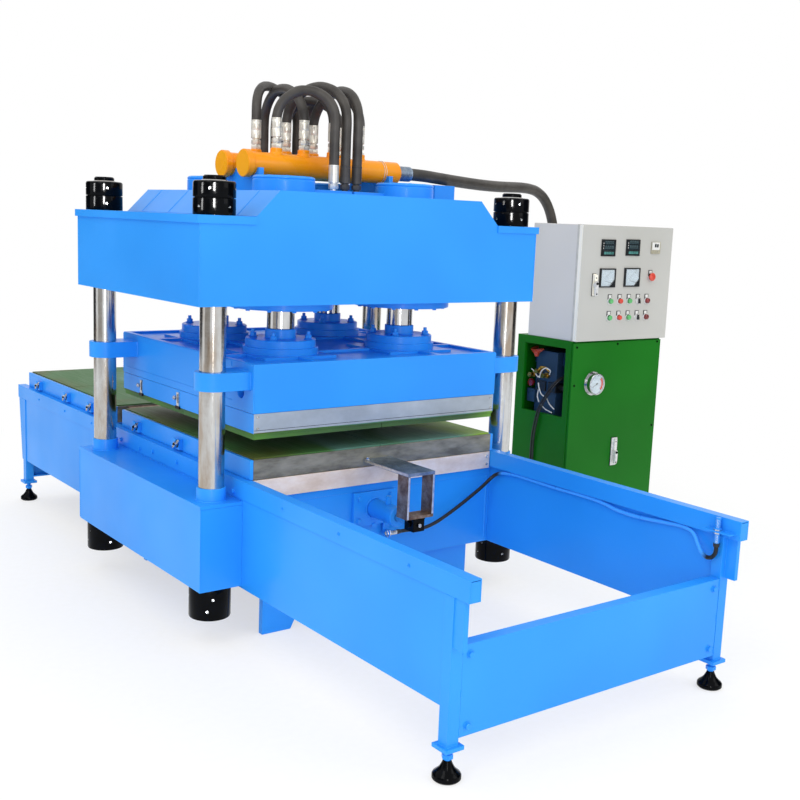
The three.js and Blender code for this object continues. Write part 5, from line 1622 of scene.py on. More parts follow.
@dataclass
class Platen:
    """Upper platen with guides and flange stacks, its rods, and the upper heating plate."""

    half_x: float = 553
    half_y: float = 550
    low: float = 822
    high: float = 993
    wall: float = 22
    rib: float = 14
    well: float = 10
    hole: Span = (461, 890)
    hole_radius: float = 24
    x: float = 265
    y: float = 277
    guide_radius: float = 62
    guide_bore: float = 45.6
    guide_z: Span = (903, 966)
    pad: float = 152
    stud_ring: float = 106
    stack: Outline = ((0, 990), (139, 990), (141, 992), (141, 1016), (139, 1018), (132, 1018.2), (132, 1044),
                      (129, 1047), (60, 1047), (58, 1049), (58, 1080), (56, 1082), (0, 1082))
    rod: Outline = ((0, 1082.3), (50, 1082.3), (52, 1084), (52, 1300), (91, 1300), (91, 1349), (0, 1349))
    plate_y: float = 547
    strip_y: float = 549.6
    plate_z: Span = (752.3, 821.7)
    film_z: float = 747
    sheet_low: float = 731
    clips_x: tuple[float, ...] = (-369, -30, 330)
    columns: Columns = field(default_factory=Columns)

    def build(self) -> None:
        """Make the body, the guides, the stacks, the rods and the plate below."""
        self.body()
        self.guides()
        self.stacks()
        for k, (x, y) in enumerate(pairs(self.x, self.y)):
            shape = Shape().turned(self.rod, (x, y, 0), sides=64)
            fit(shape, f"Piston_Rod_{k + 1}_Bar", Body.PLATEN, [CHROME], [f"piston_rod_{k + 1}"], 0)
        self.plate()
        self.clips()

    def body(self) -> None:
        """Make the box with wells in its deck between ribs and pads, and a hole in its side."""
        hx, hy, rib = self.half_x, self.half_y, self.rib
        shape = Shape().box((-hx, hx), (-hy, hy), (self.low, self.high))
        wells = Shape()
        rows = [((-half + self.wall, -at - rib), (rib - at, at - rib), (at + rib, half - self.wall))
                for half, at in ((hx, self.x), (hy, self.y))]
        for x in rows[0]:
            for y in rows[1]:
                wells.box(x, y, (self.high - self.well, self.high + 5))
        r, depth = self.hole_radius, 26
        for side in (-1, 1):
            wells.turned([(0, -4), (r, -4), (r, depth), (0, depth)], (self.hole[0], side * hy, self.hole[1]),
                         (0, -side, 0), 32)
        fit(shape, "Platen_Body", Body.PLATEN, [BLUE], ["upper_platen"], 2.5, wells)
        pads = Shape()
        for x, y in pairs(self.x, self.y):
            pads.box((x - self.pad, x + self.pad), (y - self.pad, y + self.pad),
                     (self.high - 11, self.high - 0.3))
        for side in (-1, 1):
            pads.box((-hx + 26, 395), mirror(side, hy, hy + 1.4), (self.low + 26, self.low + 29))
            pads.box((-395, 395), mirror(side, hy, hy + 1.6), (self.high - 24, self.high - 5))
        for x in (-hx, hx):
            for y in (1 - hy, hy - 1):
                pads.weld((x * 0.998, y, self.low + 3), (x * 0.998, y, self.high - 3), 3.2)
        fit(pads, "Platen_Pads_And_Seams", Body.PLATEN, [BLUE], edge=1)

    def guides(self) -> None:
        """Make the four round-ended guides that slide on the columns, and their welds."""
        r = self.guide_radius
        welds = Shape()
        for k, (x, y) in enumerate(pairs(self.columns.x, self.columns.y)):
            side = 1 if y > 0 else -1
            root, wall = side * (self.half_y - 6), side * (self.half_y + 1.5)
            arc = [around((x, y), r, side * 6 * i) for i in range(31)]
            shape = Shape().prism([(x + r, root), *arc, (x - r, root)], self.guide_z)
            bore = Shape().drum(self.guide_bore, (890, 980), (x, y, 0), sides=72)
            fit(shape, f"Platen_Guide_{k + 1}", Body.PLATEN, [BLUE], edge=1.6, cutter=bore)
            low, high = self.guide_z
            for z in self.guide_z:
                welds.weld((x - r + 2, wall, z), (x + r - 2, wall, z), 3.4)
            for edge in (x - r, x + r):
                welds.weld((edge, wall, low + 2), (edge, wall, high - 2), 3.4)
        fit(welds, "Platen_Guide_Welds", Body.PLATEN, [BLUE], edge=0)

    def stacks(self) -> None:
        """Make the flange stacks under the rods, with studs and nuts."""
        discs, studs = Shape(), Shape()
        for x, y in pairs(self.x, self.y):
            discs.turned(self.stack, (x, y, 0), sides=84)
            for angle in (45, 135, 225, 315):
                spot = around((x, y), self.stud_ring, angle)
                studs.drum(7, (1040, 1076), (*spot, 0), sides=20, edge=1.2)
                studs.bolt((*spot, 1047), Z, 26, 13)
        fit(discs, "Platen_Flange_Stacks", Body.PLATEN, [BLUE], edge=0.8)
        fit(studs, "Platen_Stud_Nuts", Body.PLATEN, [BLUE], edge=0.5)

    def plate(self) -> None:
        """Make the heating plate, its painted side strips, the rim and the coated sheets under it."""
        half, y, low = self.half_x, self.plate_y, self.plate_z[0]
        shape = Shape().box((-half, half), (-y, y), self.plate_z)
        fit(shape, "Upper_Heating_Plate", Body.PLATEN, [PLATE], ["upper_heating_plate"], 1.5)
        strips = Shape()
        for side in (-1, 1):
            strips.box((1 - half, half - 1), mirror(side, y, self.strip_y), (754, 821.4))
        fit(strips, "Upper_Plate_Side_Strips", Body.PLATEN, [BLUE], edge=0.8)
        rim = Shape().box((1.5 - half, half - 1.5), (-y - 0.5, y + 0.5), (self.film_z, low))
        for across in ((3 - y, -1.2), (1.2, y - 3)):
            for along in ((5 - half, -1.2), (1.2, half - 5)):
                rim.box(along, across, (self.sheet_low, self.film_z))
        # The sheet under the plate takes the darker copy of the film: painted shade
        fit(rim, "Upper_Mould_Sheet", Body.PLATEN, [SHEET_PAINTED_SHADE], edge=1)
        seam = Shape().box((-half - 0.4, half + 0.4), (1 - y, y - 1), (763, 764.6))
        fit(seam, "Upper_Plate_Seam", Body.PLATEN, [SHEATH], edge=0)
        lip = Shape()
        for end in (-1, 1):
            lip.box(mirror(end, half - 1, half + 0.6), (1 - y, y - 1), (low + 0.3, low + 3.1))
        fit(lip, "Upper_Plate_Film_Edge", Body.PLATEN, [SHEET], edge=0)

    def clips(self) -> None:
        """Make the screws in the plate's ends and the clips along its sides, each with a knob."""
        small = Shape()
        end_screws(small, self.half_x, 532, (770, 810))
        wall = self.strip_y
        for side in (-1, 1):
            out = (0, side, 0)
            for x in self.clips_x:
                small.use(0).box((x - 10, x + 10), mirror(side, wall, wall + 4), (754, 812))
                small.use(1).box((x + 2, x + 7), mirror(side, wall, wall + 5), (770, 806))
                small.box((x - 17, x + 17), mirror(side, wall, wall + 6), (748, 759))
                small.use(0).drum(9, (0, 9), (x - 24, side * wall, 788), out, 24, 1.5)
                small.screw((x - 24, side * (wall + 8.6), 788), out, 5, 3)
        fit(small, "Upper_Plate_Clips", Body.PLATEN, [BRIGHT, BLACK], edge=0.4)


# Upper beam with cylinders and manifolds


@dataclass
class UpperBeam:
    """Upper beam with crest, end lips, seams and pipe saddles."""

    half: float = 535
    half_y: float = 748
    low: float = 1191
    top: float = 1491
    crest: float = 1581
    crest_y: Span = (539, 450.5)
    ribs: tuple[float, ...] = (-395, -155, 155, 395)

    def build(self) -> None:
        """Make the beam and its seams."""
        fit(Shape().node("upper_beam"), "Upper_Beam_Body", Body.FRAME, [BLUE], ["upper_beam"], 2.5)
        seams = Shape()
        foot, head = self.crest_y
        for side in (-1, 1):
            for x in self.ribs:
                seams.weld((x, side * foot, self.top + 1), (x, side * head, self.crest), 2)
            edge, z = side * (foot + 1), self.top + 0.5
            seams.weld((2 - self.half, edge, z), (self.half - 2, edge, z), 2.2)
            for x in (-self.half, self.half):
                seams.weld((x, side * self.half_y, self.low + 4), (x, side * self.half_y, self.top - 30), 1.6)
            seams.weld((-150, side * 300, self.crest - 6.5), (150, side * 300, self.crest - 6.5), 11, 12)
        fit(seams, "Upper_Beam_Seams", Body.FRAME, [BLUE], edge=0)


@dataclass
class Cylinders:
    """Four hydraulic cylinders with flanges, caps, port blocks and hose ends."""

    x: float = 265
    y: float = 277
    flange_ring: float = 172
    cap_ring: float = 88
    flange_low: float = 1160.3
    top: float = 1640
    tube: Outline = ((53, 1160.3), (192, 1160.3), (195, 1163), (195, 1188), (193, 1190.5), (115, 1190.5),
                     (115, 1624), (113, 1626), (113, 1628), (115, 1630), (115, 1634), (108, 1640), (0, 1640),
                     (0, 1350.5), (53, 1350.5))
    wiper: Outline = ((53, 1152), (66, 1152), (68, 1154), (68, 1160.4), (53, 1160.4))
    ports: tuple[float, ...] = (-60, -8, 45, 97, 139)
    block_z: Span = (1574.3, 1598.3)
    near_block: Span = (-167, 14)
    far_block: Span = (24, 167)

    def build(self) -> None:
        """Make each cylinder with its half of the port block."""
        for k, (x, y) in enumerate(pairs(self.x, self.y)):
            self.barrel(k + 1, x, y)
            self.block(k + 1, x, y)

    def barrel(self, number: int, x: float, y: float) -> None:
        """Make barrel, flange and cap of one cylinder, with their screws and the rod wiper.

        Args:
            number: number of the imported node.
            x: place of its axis along X.
            y: place of its axis along Y.
        """
        shape = Shape().turned(self.tube, (x, y, 0), sides=84, closed=True)
        fit(shape, f"Cylinder_{number}_Barrel", Body.FRAME, [BLUE], [f"cylinder_barrel_{number}"], 1)
        screws = Shape()
        for k in range(12):
            screws.screw((*around((x, y), self.flange_ring, 30 * k + 15), self.flange_low), (0, 0, -1), 8, 6)
        for k in range(8):
            screws.screw((*around((x, y), self.cap_ring, 45 * k + 22), self.top), Z, 7, 1.2)
        screws.use(1).turned(self.wiper, (x, y, 0), closed=True)
        fit(screws, f"Cylinder_{number}_Screws", Body.FRAME, [BLUE, BLACK], edge=0)

    def block(self, number: int, x: float, y: float) -> None:
        """Make the port block with its nipples, nuts and crimped hose ends.

        Args:
            number: number of the cylinder that feeds it.
            x: place of the cylinder's axis along X.
            y: place of the cylinder's axis along Y.
        """
        places = self.ports[:2] if y < 0 else self.ports[2:3] if x > 0 else self.ports[2:]
        shape = Shape().box((x - 20, x + 20), self.near_block if y < 0 else self.far_block, self.block_z)
        fit(shape, f"Port_Block_{number}", Body.FRAME, [BLUE], edge=1.5)
        sleeved = [place for place in places if x > 0 and place != self.ports[0]]
        for name, row, skin in (("Port_Fittings", [p for p in places if p not in sleeved], ZINC),
                                ("Sleeved_Port_Fittings", sleeved, RUBBER)):
            ends = Shape()
            for place in row:
                hose_end(ends, (x, place, self.block_z[1]), 9.7, 84.7)
            if row:
                fit(ends, f"{name}_{number}", Body.FRAME, [skin], edge=0)


def hose_end(shape: Shape, place: Point, start: float, length: float) -> None:
    """Add a crimped hose end with its swivel nut, standing on a port.

    Args:
        shape: shape that takes it.
        place: foot of the nipple.
        start: height of the nipple under the nut.
        length: height of the nut and the crimped ferrule together.
    """
    low, high = start + 14, start + length
    shape.turned([(0, -1), (11.5, -1), (11.5, start), (0, start)], place, Z, 24)
    shape.turned([(0, start - 4), (17.5, start - 4), (18.8, start - 2), (18.8, low - 2), (17, low), (0, low)],
                 place, Z, 6, twist=20)
    profile = [(0, low), (14, low), (14, low + 4), (18.2, low + 5)]
    step = (high - low - 12) / 2
    for k in range(2):
        at = low + 6 + k * step
        profile += [(19.6, at), (19.6, at + step * 0.92), (19.2, at + step * 0.94), (19.2, at + step * 0.98)]
    profile += [(19.8, high - 4), (20.2, high - 2), (19.8, high), (0, high)]
    shape.turned(profile, place, Z, 32)


@dataclass
class Manifolds:
    """Two manifold pipes with stepped caps, bosses and a row of hose ends."""

    x: float = 85
    z: float = 1687
    radius: float = 44.5
    low: float = -350
    high: float = 360
    disc_radius: float = 49
    clamps_y: Span = (276, 286)
    front: tuple[float, ...] = (-206, -84, 50, 178)
    back: tuple[float, ...] = (-199, -61, 67, 195)
    end: Outline = ((0, 0), (49.5, 0), (52, 2.5), (52, 24), (50, 26), (45, 26), (44.5, 28), (0, 28))
    spout: Outline = ((30, 352), (44.5, 352), (44.5, 358), (42, 361), (31, 361), (30, 363), (30, 374),
                      (24, 374), (24, 352))
    boss: Outline = ((0, 36), (27, 36), (25, 46), (23, 49), (23, 61), (21.5, 63), (0, 63))
    nut: Outline = ((0, 62), (20, 62), (21.4, 64), (21.4, 78), (20, 80), (0, 80))
    sleeve: Span = (361.4, 433)
    ridges: int = 8

    def build(self) -> None:
        """Make both pipes with their fittings, then the painted light discs on their near ends, the clamp ring
        and the main hose's sleeve.
        """
        self.pipe("Front", self.x, self.front)
        self.pipe("Back", -self.x, self.back)
        # Thin discs of lighter orange on the near ends: painted light
        discs = Shape()
        for x in (self.x, -self.x):
            discs.drum(self.disc_radius, (self.low - 0.5, self.low + 0.3), (x, 0, self.z), Y, 72)
        fit(discs, "Manifold_End_Painted_Light_Discs", Body.FRAME, [ORANGE_PAINTED_LIGHT], edge=0)
        axis = (self.x, 0, self.z)
        clamp = Shape()
        for y in self.clamps_y:
            clamp.ring(self.radius + 0.1, self.radius + 1.5, (y, y + 2), axis, Y, 64, 0.4)
        fit(clamp, "Manifold_Front_Clamp_Ring", Body.FRAME, [ZINC], edge=0)
        low, high = self.sleeve
        crimp = [(25.2, low), (29.6, low)]
        for k in range(self.ridges):
            at = 364 + 8 * k
            crimp += [(30.6, at), (30.6, at + 5), (29.4, at + 6), (29.4, at + 7.4)]
        crimp += [(30.6, high - 2), (29.6, high), (25.2, high)]
        sleeve = Shape().turned(crimp, axis, Y, 48, closed=True)
        fit(sleeve, "Main_Hose_Crimped_Sleeve", Body.FRAME, [BLUED], edge=0)

    def pipe(self, name: str, x: float, places: Sequence[float]) -> None:
        """Make one pipe; the front one ends in the spout of the main hose, the back one in a cap.

        Args:
            name: which pipe.
            x: place of its axis.
            places: places of its bosses along Y.
        """
        axis = (x, 0, self.z)
        pipe = Shape().turned(self.end, (x, self.low, self.z), Y, 72)
        if x > 0:
            pipe.turned(self.spout, axis, Y, 64, closed=True)
        else:
            pipe.turned(self.end, (x, self.high, self.z), (0, -1, 0), 72)
        pipe.drum(self.radius, (self.low + 20, self.high - 6), axis, Y, 72, 0.5)
        ends = Shape()
        for y in places:
            pipe.turned(self.boss, (x, y, self.z), Z, 48)
            ends.turned(self.nut, (x, y, self.z), Z, 6)
            hose_end(ends, (x, y, self.z + 78), 8, 90)
        fit(pipe, f"Manifold_{name}_Pipe", Body.FRAME, [ORANGE], [f"manifold_{name.lower()}"], 0)
        fit(ends, f"Manifold_{name}_Fittings", Body.FRAME, [ZINC], edge=0)


# Cabinets


@dataclass
class ControlBox:
    """Control box with its door, instruments, buttons, selectors, lamps and lock."""

    y: Span = (1516, 2180)
    z: Span = (944.3, 1512)
    face: float = 59.3
    seal_x: Span = (23, 36.9)
    flange_x: Span = (18, 24)
    relay_rows: int = 3
    relays: int = 8
    columns: tuple[float, ...] = (0.333, 0.44, 0.543, 0.645, 0.744)
    rows: tuple[float, ...] = (0.653, 0.799)
    stop_at: Span = (0.769, 0.44)
    handle: Span = (0.146, 0.51)
    timer_at: tuple[Span, Span] = ((0.752, 0.853), (0.129, 0.234))
    controllers: tuple[tuple[Span, Span], ...] = (((0.201, 0.35), (0.119, 0.263)),
                                                  ((0.469, 0.619), (0.113, 0.255)))
    meters: tuple[tuple[Span, Span], ...] = (((0.201, 0.369), (0.368, 0.532)),
                                             ((0.469, 0.64), (0.362, 0.527)))
    lamp: Outline = ((0, 0), (14, 0), (14, 10), (12.6, 15), (8, 18), (0, 19))
    stop: Outline = ((0, -19), (10.6, -19), (10.6, 7), (14, 8.5), (19, 9), (21, 12), (20.6, 17), (17, 21),
                     (9, 23), (0, 23))
    cap: Outline = ((0, -19), (10.6, -19), (10.6, 5), (11.6, 6), (12.4, 8), (12.4, 13), (11.4, 15.2),
                    (8, 16), (0, 16))
    disc: Outline = ((0, -19), (10.4, -19), (10.4, 0.5), (13.6, 0.8), (14, 2), (14, 5.6), (13, 6.4), (0, 6.4))

    def place(self, across: float, down: float) -> Span:
        """Give Y and Z of a spot on the door from shares of its width and height."""
        return (self.y[0] + across * (self.y[1] - self.y[0]), self.z[1] - down * (self.z[1] - self.z[0]))

    def build(self) -> None:
        """Make the shell, the door and everything on it."""
        self.shell()
        self.door()
        self.instruments()
        self.controls()
        y, z = self.place(*self.handle)
        lock_handle("Control_Door", Body.CONTROL_DOOR, Body.CONTROL_HANDLE, (self.face, y, z),
                    "control_door_handle", LOCK_WHITE_AND_EDGE_HIGHLIGHT, LEVER, 12.5, (55, 56))

    def shell(self) -> None:
        """Make the box with its door seal, inner flange, mounting plate and relays."""
        fit(Shape().node("control_box"), "Control_Box_Housing", Body.FRAME, [GREY], ["control_box"], 3)
        y0, y1 = self.y
        z0, z1 = self.z
        seal = Shape()
        for y in ((y0 - 0.5, y0 + 6), (y1 - 6, y1 + 0.5)):
            seal.box(self.seal_x, y, (z0 + 0.2, z1 + 0.5))
        seal.box(self.seal_x, self.y, (z1 - 6, z1 + 0.5))
        fit(seal, "Control_Box_Door_Seal", Body.FRAME, [SEAL], edge=0.3)
        rim = Shape()
        for y in ((y0 + 15, y0 + 26), (y1 - 26, y1 - 15)):
            rim.box(self.flange_x, y, (z0 + 15, z1 - 15))
        rim.box(self.flange_x, (y0 + 15, y1 - 15), (z1 - 26, z1 - 15))
        fit(rim, "Control_Box_Flange", Body.FRAME, [GREY], edge=0.8)
        plate, gear = Shape().box((-250, -246), (y0 + 40, y1 - 40), (z0 + 40, z1 - 40)), Shape()
        for k in range(self.relay_rows):
            z = z0 + 140 + k * 130
            plate.box((-246, -236), (y0 + 70, y1 - 70), (z - 17, z + 17))
            for n in range(self.relays):
                y = y0 + 84 + n * 62
                gear.box((-237, -170), (y, y + 44 + 6 * ((n + k) % 2)), (z - 38, z + 38))
                gear.box((-171, -158), (y + 6, y + 38), (z - 20, z + 20))
        fit(plate, "Control_Box_Mounting_Plate", Body.FRAME, [BRIGHT], edge=0.6)
        fit(gear, "Control_Box_Relays", Body.FRAME, [BLACK_ABS], edge=1)

    def door(self) -> None:
        """Make the folded door with holes for the buttons and a hinge on its far side."""
        y0, y1 = self.y
        z0, z1 = self.z
        shape = Shape().box((37.3, self.face), self.y, self.z)
        holes = Shape()
        spots = [self.place(a, d) for d in self.rows for a in self.columns[:4]] + [self.place(*self.stop_at)]
        for y, z in spots:
            holes.drum(11.3, (30, 70), (0, y, z), X, 32)
        holes.box((30, self.face - 2), (y0 + 3, y1 - 3), (z0 + 3, z1 - 3))
        # The door panel takes the darker copy of the box's grey: painted shade
        fit(shape, "Control_Door_Panel", Body.CONTROL_DOOR, [DOOR_GREY_PAINTED_SHADE], ["control_door"], 2.6, holes)
        hinge = Shape()
        for z in (z0 + 70, z1 - 70):
            hinge.drum(6, (z - 28, z + 28), (48, y1 + 2, 0), Z, 20, 1)
            hinge.box((42, 54), (y1 - 6, y1 + 2), (z - 24, z + 24))
        fit(hinge, "Control_Door_Hinges", Body.CONTROL_DOOR, [GREY], edge=0.6)
        # Near-white strip on the door's near edge: painted highlight along the fold
        strip = Shape().box((37.4, self.face - 1), (y0 - 0.7, y0 + 0.2), (z0 + 1.5, z1 - 1.5))
        fit(strip, "Control_Door_Edge_Highlight_Strip", Body.CONTROL_DOOR, [LOCK_WHITE_AND_EDGE_HIGHLIGHT], edge=0)

    def plate(self, shape: Shape, across: Span, down: Span, depth: Span, inset: float = 0) -> None:
        """Add a plate on the door.

        Args:
            shape: shape that takes it.
            across: its sides as shares of the door's width.
            down: its top and bottom as shares of the door's height.
            depth: its back and front from the door's face.
            inset: how much smaller it is on each side.
        """
        ya, zb = self.place(across[0], down[0])
        yb, za = self.place(across[1], down[1])
        shape.box((self.face + depth[0], self.face + depth[1]), (ya + inset, yb - inset),
                  (za + inset, zb - inset))

    def instruments(self) -> None:
        """Make two temperature controllers, the timer and two pointer meters."""
        frames, dials, displays, bands, panes, cards, digits = (Shape() for _ in range(7))
        for across, down in self.controllers:
            self.plate(frames, across, down, (-1, 6))
            self.plate(frames, across, down, (5, 8), 3)
            self.controller(displays, bands, cards, digits, *self.corners(across, down))
        for across, down in self.meters:
            self.meter(frames, dials, panes, *self.corners(across, down))
        self.timer(cards, displays)
        fit(digits, "Panel_Display_Digits", Body.CONTROL_DOOR, [DIGIT], edge=0)
        fit(frames, "Panel_Instrument_Bezels", Body.CONTROL_DOOR, [BLACK_ABS], edge=1.2)
        fit(dials, "Panel_Meter_Dials", Body.CONTROL_DOOR, [DIAL], edge=0)
        fit(displays, "Panel_Displays", Body.CONTROL_DOOR, [DISPLAY], edge=0.4)
        fit(bands, "Panel_Keypads", Body.CONTROL_DOOR, [DISPLAY_BAND], edge=0.5)
        fit(panes, "Panel_Meter_Windows", Body.CONTROL_DOOR, [GLASS], edge=0).visible_shadow = False
        fit(cards, "Panel_Timer_And_Marks", Body.CONTROL_DOOR, [WHITE_ABS], edge=0.8)

    def corners(self, across: Span, down: Span) -> tuple[Span, Span]:
        """Give the sides and the low and high edges of an instrument in millimetres.

        Args:
            across: its sides as shares of the door's width.
            down: its top and bottom as shares of the door's height.

        Returns:
            Its span along Y and its span along Z.
        """
        (ya, zb), (yb, za) = self.place(across[0], down[0]), self.place(across[1], down[1])
        return (ya, yb), (za, zb)

    def controller(self, displays: Shape, bands: Shape, cards: Shape, digits: Shape, y: Span,
                   z: Span) -> None:
        """Make the face of one temperature controller: window with two rows of digits, keys and marks.

        Args:
            displays: shape of the dark windows.
            bands: shape of the keys.
            cards: shape of the pale marks.
            digits: shape of the unlit digits.
            y: its two sides.
            z: its low and high edges.
        """
        y0, y1 = y
        z0, z1 = z
        front = self.face + 8.9
        displays.box((self.face + 7.6, self.face + 8.6), (y0 + 14, y1 - 12), (z0 + 28, z1 - 11))
        key = (y1 - y0 - 28) / 4
        for k in range(4):
            left = y0 + 14 + k * key
            bands.box((self.face + 7.6, self.face + 9.4), (left, left + key - 2.4), (z0 + 9, z0 + 22))
        for k in range(3):
            low = z0 + 36 + k * 12
            cards.box((self.face + 7.8, front), (y0 + 7, y0 + 10), (low, low + 6))
        for row in (0, 1):
            for k in range(4):
                left, low = y0 + 20 + k * (y1 - y0 - 36) / 4, z0 + 36 + 24 * row
                for sides, ends in (((0, 11), (12, 15)), ((0, 3), (0, 12.2)), ((8, 11), (0, 12.2))):
                    digits.box((self.face + 8.2, front), (left + sides[0], left + sides[1]),
                               (low + ends[0], low + ends[1]))

    def meter(self, frames: Shape, dials: Shape, panes: Shape, y: Span, z: Span) -> None:
        """Make one pointer meter: frame, dial card with scale arc and pointer, corner mask and window.

        Args:
            frames: shape of the black frames, ticks and pointers.
            dials: shape of the dial cards.
            panes: shape of the clear windows.
            y: its two sides.
            z: its low and high edges.
        """
        y0, y1 = y
        z0, z1 = z
        f = self.face
        for a, b in (((y0, y1), (z0, z0 + 6)), ((y0, y1), (z1 - 6, z1)),
                     ((y0, y0 + 9), (z0 + 6, z1 - 6)), ((y1 - 6, y1), (z0 + 6, z1 - 6))):
            frames.box((f - 1, f + 8), a, b)
        frames.box((f - 1, f + 1), (y0 + 2, y1 - 2), (z0 + 2, z1 - 2))
        dials.box((f + 1, f + 2.4), (y0 + 9, y1 - 6), (z0 + 6, z1 - 6))
        for depth in ((f + 2.2, f + 6.2), (f + 7.6, f + 8.1)):
            frames.prism([(y1 - 6, z0 + 6), (y1 - 6, z0 + 38), (y1 - 38, z0 + 6)], depth, X)
        pivot = (y1 - 20, z0 + 20)
        reach = min(y1 - y0, z1 - z0) * 0.6
        for k in range(11):
            size = 6 if k % 5 == 0 else 3.5
            tick = [(f + 2.6, *around(pivot, far, 100 + 7.2 * k)) for far in (reach, reach - size)]
            frames.tube(tick, 0.6, 6)
        frames.tube([(f + 3.2, *pivot), (f + 3.2, *around(pivot, reach - 4, 168))], [1.2, 0.5], 6)
        panes.box((f + 6.4, f + 7.4), (y0 + 7, y1 - 5), (z0 + 5, z1 - 5))

    def timer(self, cards: Shape, displays: Shape) -> None:
        """Make the counting timer: pale case with two black digit wheels and a row of keys.

        Args:
            cards: shape of the pale parts.
            displays: shape of the dark windows.
        """
        rim = Shape()
        self.plate(rim, *self.timer_at, (-1, 6))
        (y0, y1), (_, z1) = self.corners(*self.timer_at)
        f = self.face
        cards.box((f + 5, f + 8), (y0 + 2, y1 - 9), (z1 - 40, z1 - 2))
        for k in range(2):
            y = y0 + 20 + k * 16
            displays.box((f + 7.6, f + 9), (y, y + 12), (z1 - 27, z1 - 10))
        for k in range(3):
            y = y0 + 10 + k * 17
            rim.box((f + 5.6, f + 8), (y, y + 11), (z1 - 53, z1 - 44))
        fit(rim, "Panel_Timer_Rim", Body.CONTROL_DOOR, [PUTTY], edge=0.6)

    def controls(self) -> None:
        """Make buttons, selectors, lamps and the emergency stop, each in a ring with a legend frame."""
        rings, legends = Shape(), Shape()
        number = 0
        for r, down in enumerate(self.rows):
            for c, across in enumerate(self.columns):
                y, z = self.place(across, down)
                self.collar(rings, legends, y, z)
                if c < 3:
                    number += 1
                    self.button(number, y, z, RED_CAP if c == 1 else GREEN_CAP)
                elif c == 3:
                    self.selector(r + 1, y, z)
                else:
                    lens = Shape().turned(self.lamp, (self.face, y, z), X, 40)
                    fit(lens, f"Panel_Lamp_{r + 1}", Body.CONTROL_DOOR, [DARK_RED_CAP], edge=0)
        y, z = self.place(*self.stop_at)
        self.collar(rings, legends, y, z, 1.6)
        stop = Shape().turned(self.stop, (self.face, y, z), X, 48)
        fit(stop, "Emergency_Stop_Head", Body.STOP, [RED_CAP], ["emergency_stop"], 0)
        fit(rings, "Panel_Button_Rings", Body.CONTROL_DOOR, [LEVER], edge=0.3)
        fit(legends, "Panel_Legend_Frames", Body.CONTROL_DOOR, [BLACK_ABS, WHITE_ABS], edge=0.6)

    def collar(self, rings: Shape, legends: Shape, y: float, z: float, rise: float = 5) -> None:
        """Add the ring of one control, open wide enough for its cap, and the legend frame above it.

        Args:
            rings: shape of the rings.
            legends: shape of the legend frames.
            y: place of the control along Y.
            z: height of the control.
            rise: height of the ring over the door.
        """
        f = self.face
        rings.turned([(11.3, -0.6), (18.6, -0.6), (18.6, rise - 1), (17.8, rise), (15, rise), (14.6, 0.6),
                      (11.3, 0.6)], (f, y, z), X, 36, closed=True)
        legends.use(0).box((f - 0.5, f + 2), (y - 17, y + 11), (z + 3, z + 34))
        legends.use(1).box((f + 1, f + 2.9), (y - 12.5, y + 7), (z + 17, z + 31))

    def button(self, number: int, y: float, z: float, skin: Finish) -> None:
        """Make one push button with a domed cap."""
        shape = Shape().turned(self.cap, (self.face, y, z), X, 40)
        fit(shape, f"Push_Button_{number}_Cap", f"push_button_{number}", [skin], [f"push_button_{number}"], 0)

    def selector(self, number: int, y: float, z: float) -> None:
        """Make one selector switch: disc, tapered grip and white pointer line.

        Args:
            number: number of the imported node.
            y: place of its axis along Y.
            z: height of its axis.
        """
        f = self.face
        shape = Shape().use(2).turned(self.disc, (f, y, z), X, 40)
        grip = [(y - 3.4, z - 12.6), (y + 3.4, z - 12.6), (y + 2.4, z + 12.8), (y - 2.4, z + 12.8)]
        shape.use(0).prism(grip, (f + 6, f + 18.2), X)
        shape.use(1).box((f + 18, f + 18.5), (y - 0.9, y + 0.9), (z + 2, z + 11.5))
        fit(shape, f"Selector_{number}_Grip", f"selector_{number}", [BLACK_ABS, WHITE_ABS, LEVER],
            [f"selector_{number}"], 1)


def lock_handle(name: str, door: Body, lever: Body, place: Point, node: str, plate_skin: Finish,
                grip_skin: Finish, half: float, reach: Span) -> None:
    """Make a flush lever lock: its plate on the door and the lever that turns.

    Args:
        name: first words of the pieces' names.
        door: body of the door.
        lever: body of the lever.
        place: the lever's axis on the door's face.
        node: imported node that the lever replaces.
        plate_skin: finish of the plate.
        grip_skin: finish of the lever.
        half: half the width of the plate.
        reach: how far the plate goes below and above the lever's axis.
    """
    x, y, z = place
    plate = Shape()
    low, high = z - reach[0], z + reach[1]
    plate.use(1).box((x - 0.5, x + 3), (y - half, y + half), (low, high))
    plate.use(0).box((x + 2.5, x + 5.9), (y - half + 2, y + half - 2), (low + 2, high - 2))
    plate.box((x + 5.5, x + 17), (y - 9.5, y + 9.5), (z + 20, high - 7))
    plate.use(1).drum(3.6, (16, 18), (x, y, high - 22), X, 16, 0.4).use(0)
    fit(plate, f"{name}_Lock_Plate", door, [plate_skin, BLACK_ABS], edge=1.2)
    grip = Shape()
    grip.drum(11, (6.4, 18), (x, y, z), X, 28, 1)
    grip.prism([(y - 9, z - 48), (y - 6, z - 51.5), (y + 6, z - 51.5), (y + 9, z - 48), (y + 10.5, z + 12),
                (y + 6, z + 17.5), (y - 6, z + 17.5), (y - 10.5, z + 12)], (x + 16, x + 24), X)
    grip.prism([(y - 7, z - 40), (y + 7, z - 40), (y + 8, z + 2), (y - 8, z + 2)], (x + 23.5, x + 27.4), X)
    grip.use(1).ring(3, 6.4, (23.8, 28.6), (x, y, z + 7), X, 24, 0.6)
    grip.drum(3.4, (23, 26.6), (x, y, z - 44), X, 16, 0.4)
    fit(grip, f"{name}_Lock_Lever", lever, [grip_skin, BLACK], [node], 1.2)


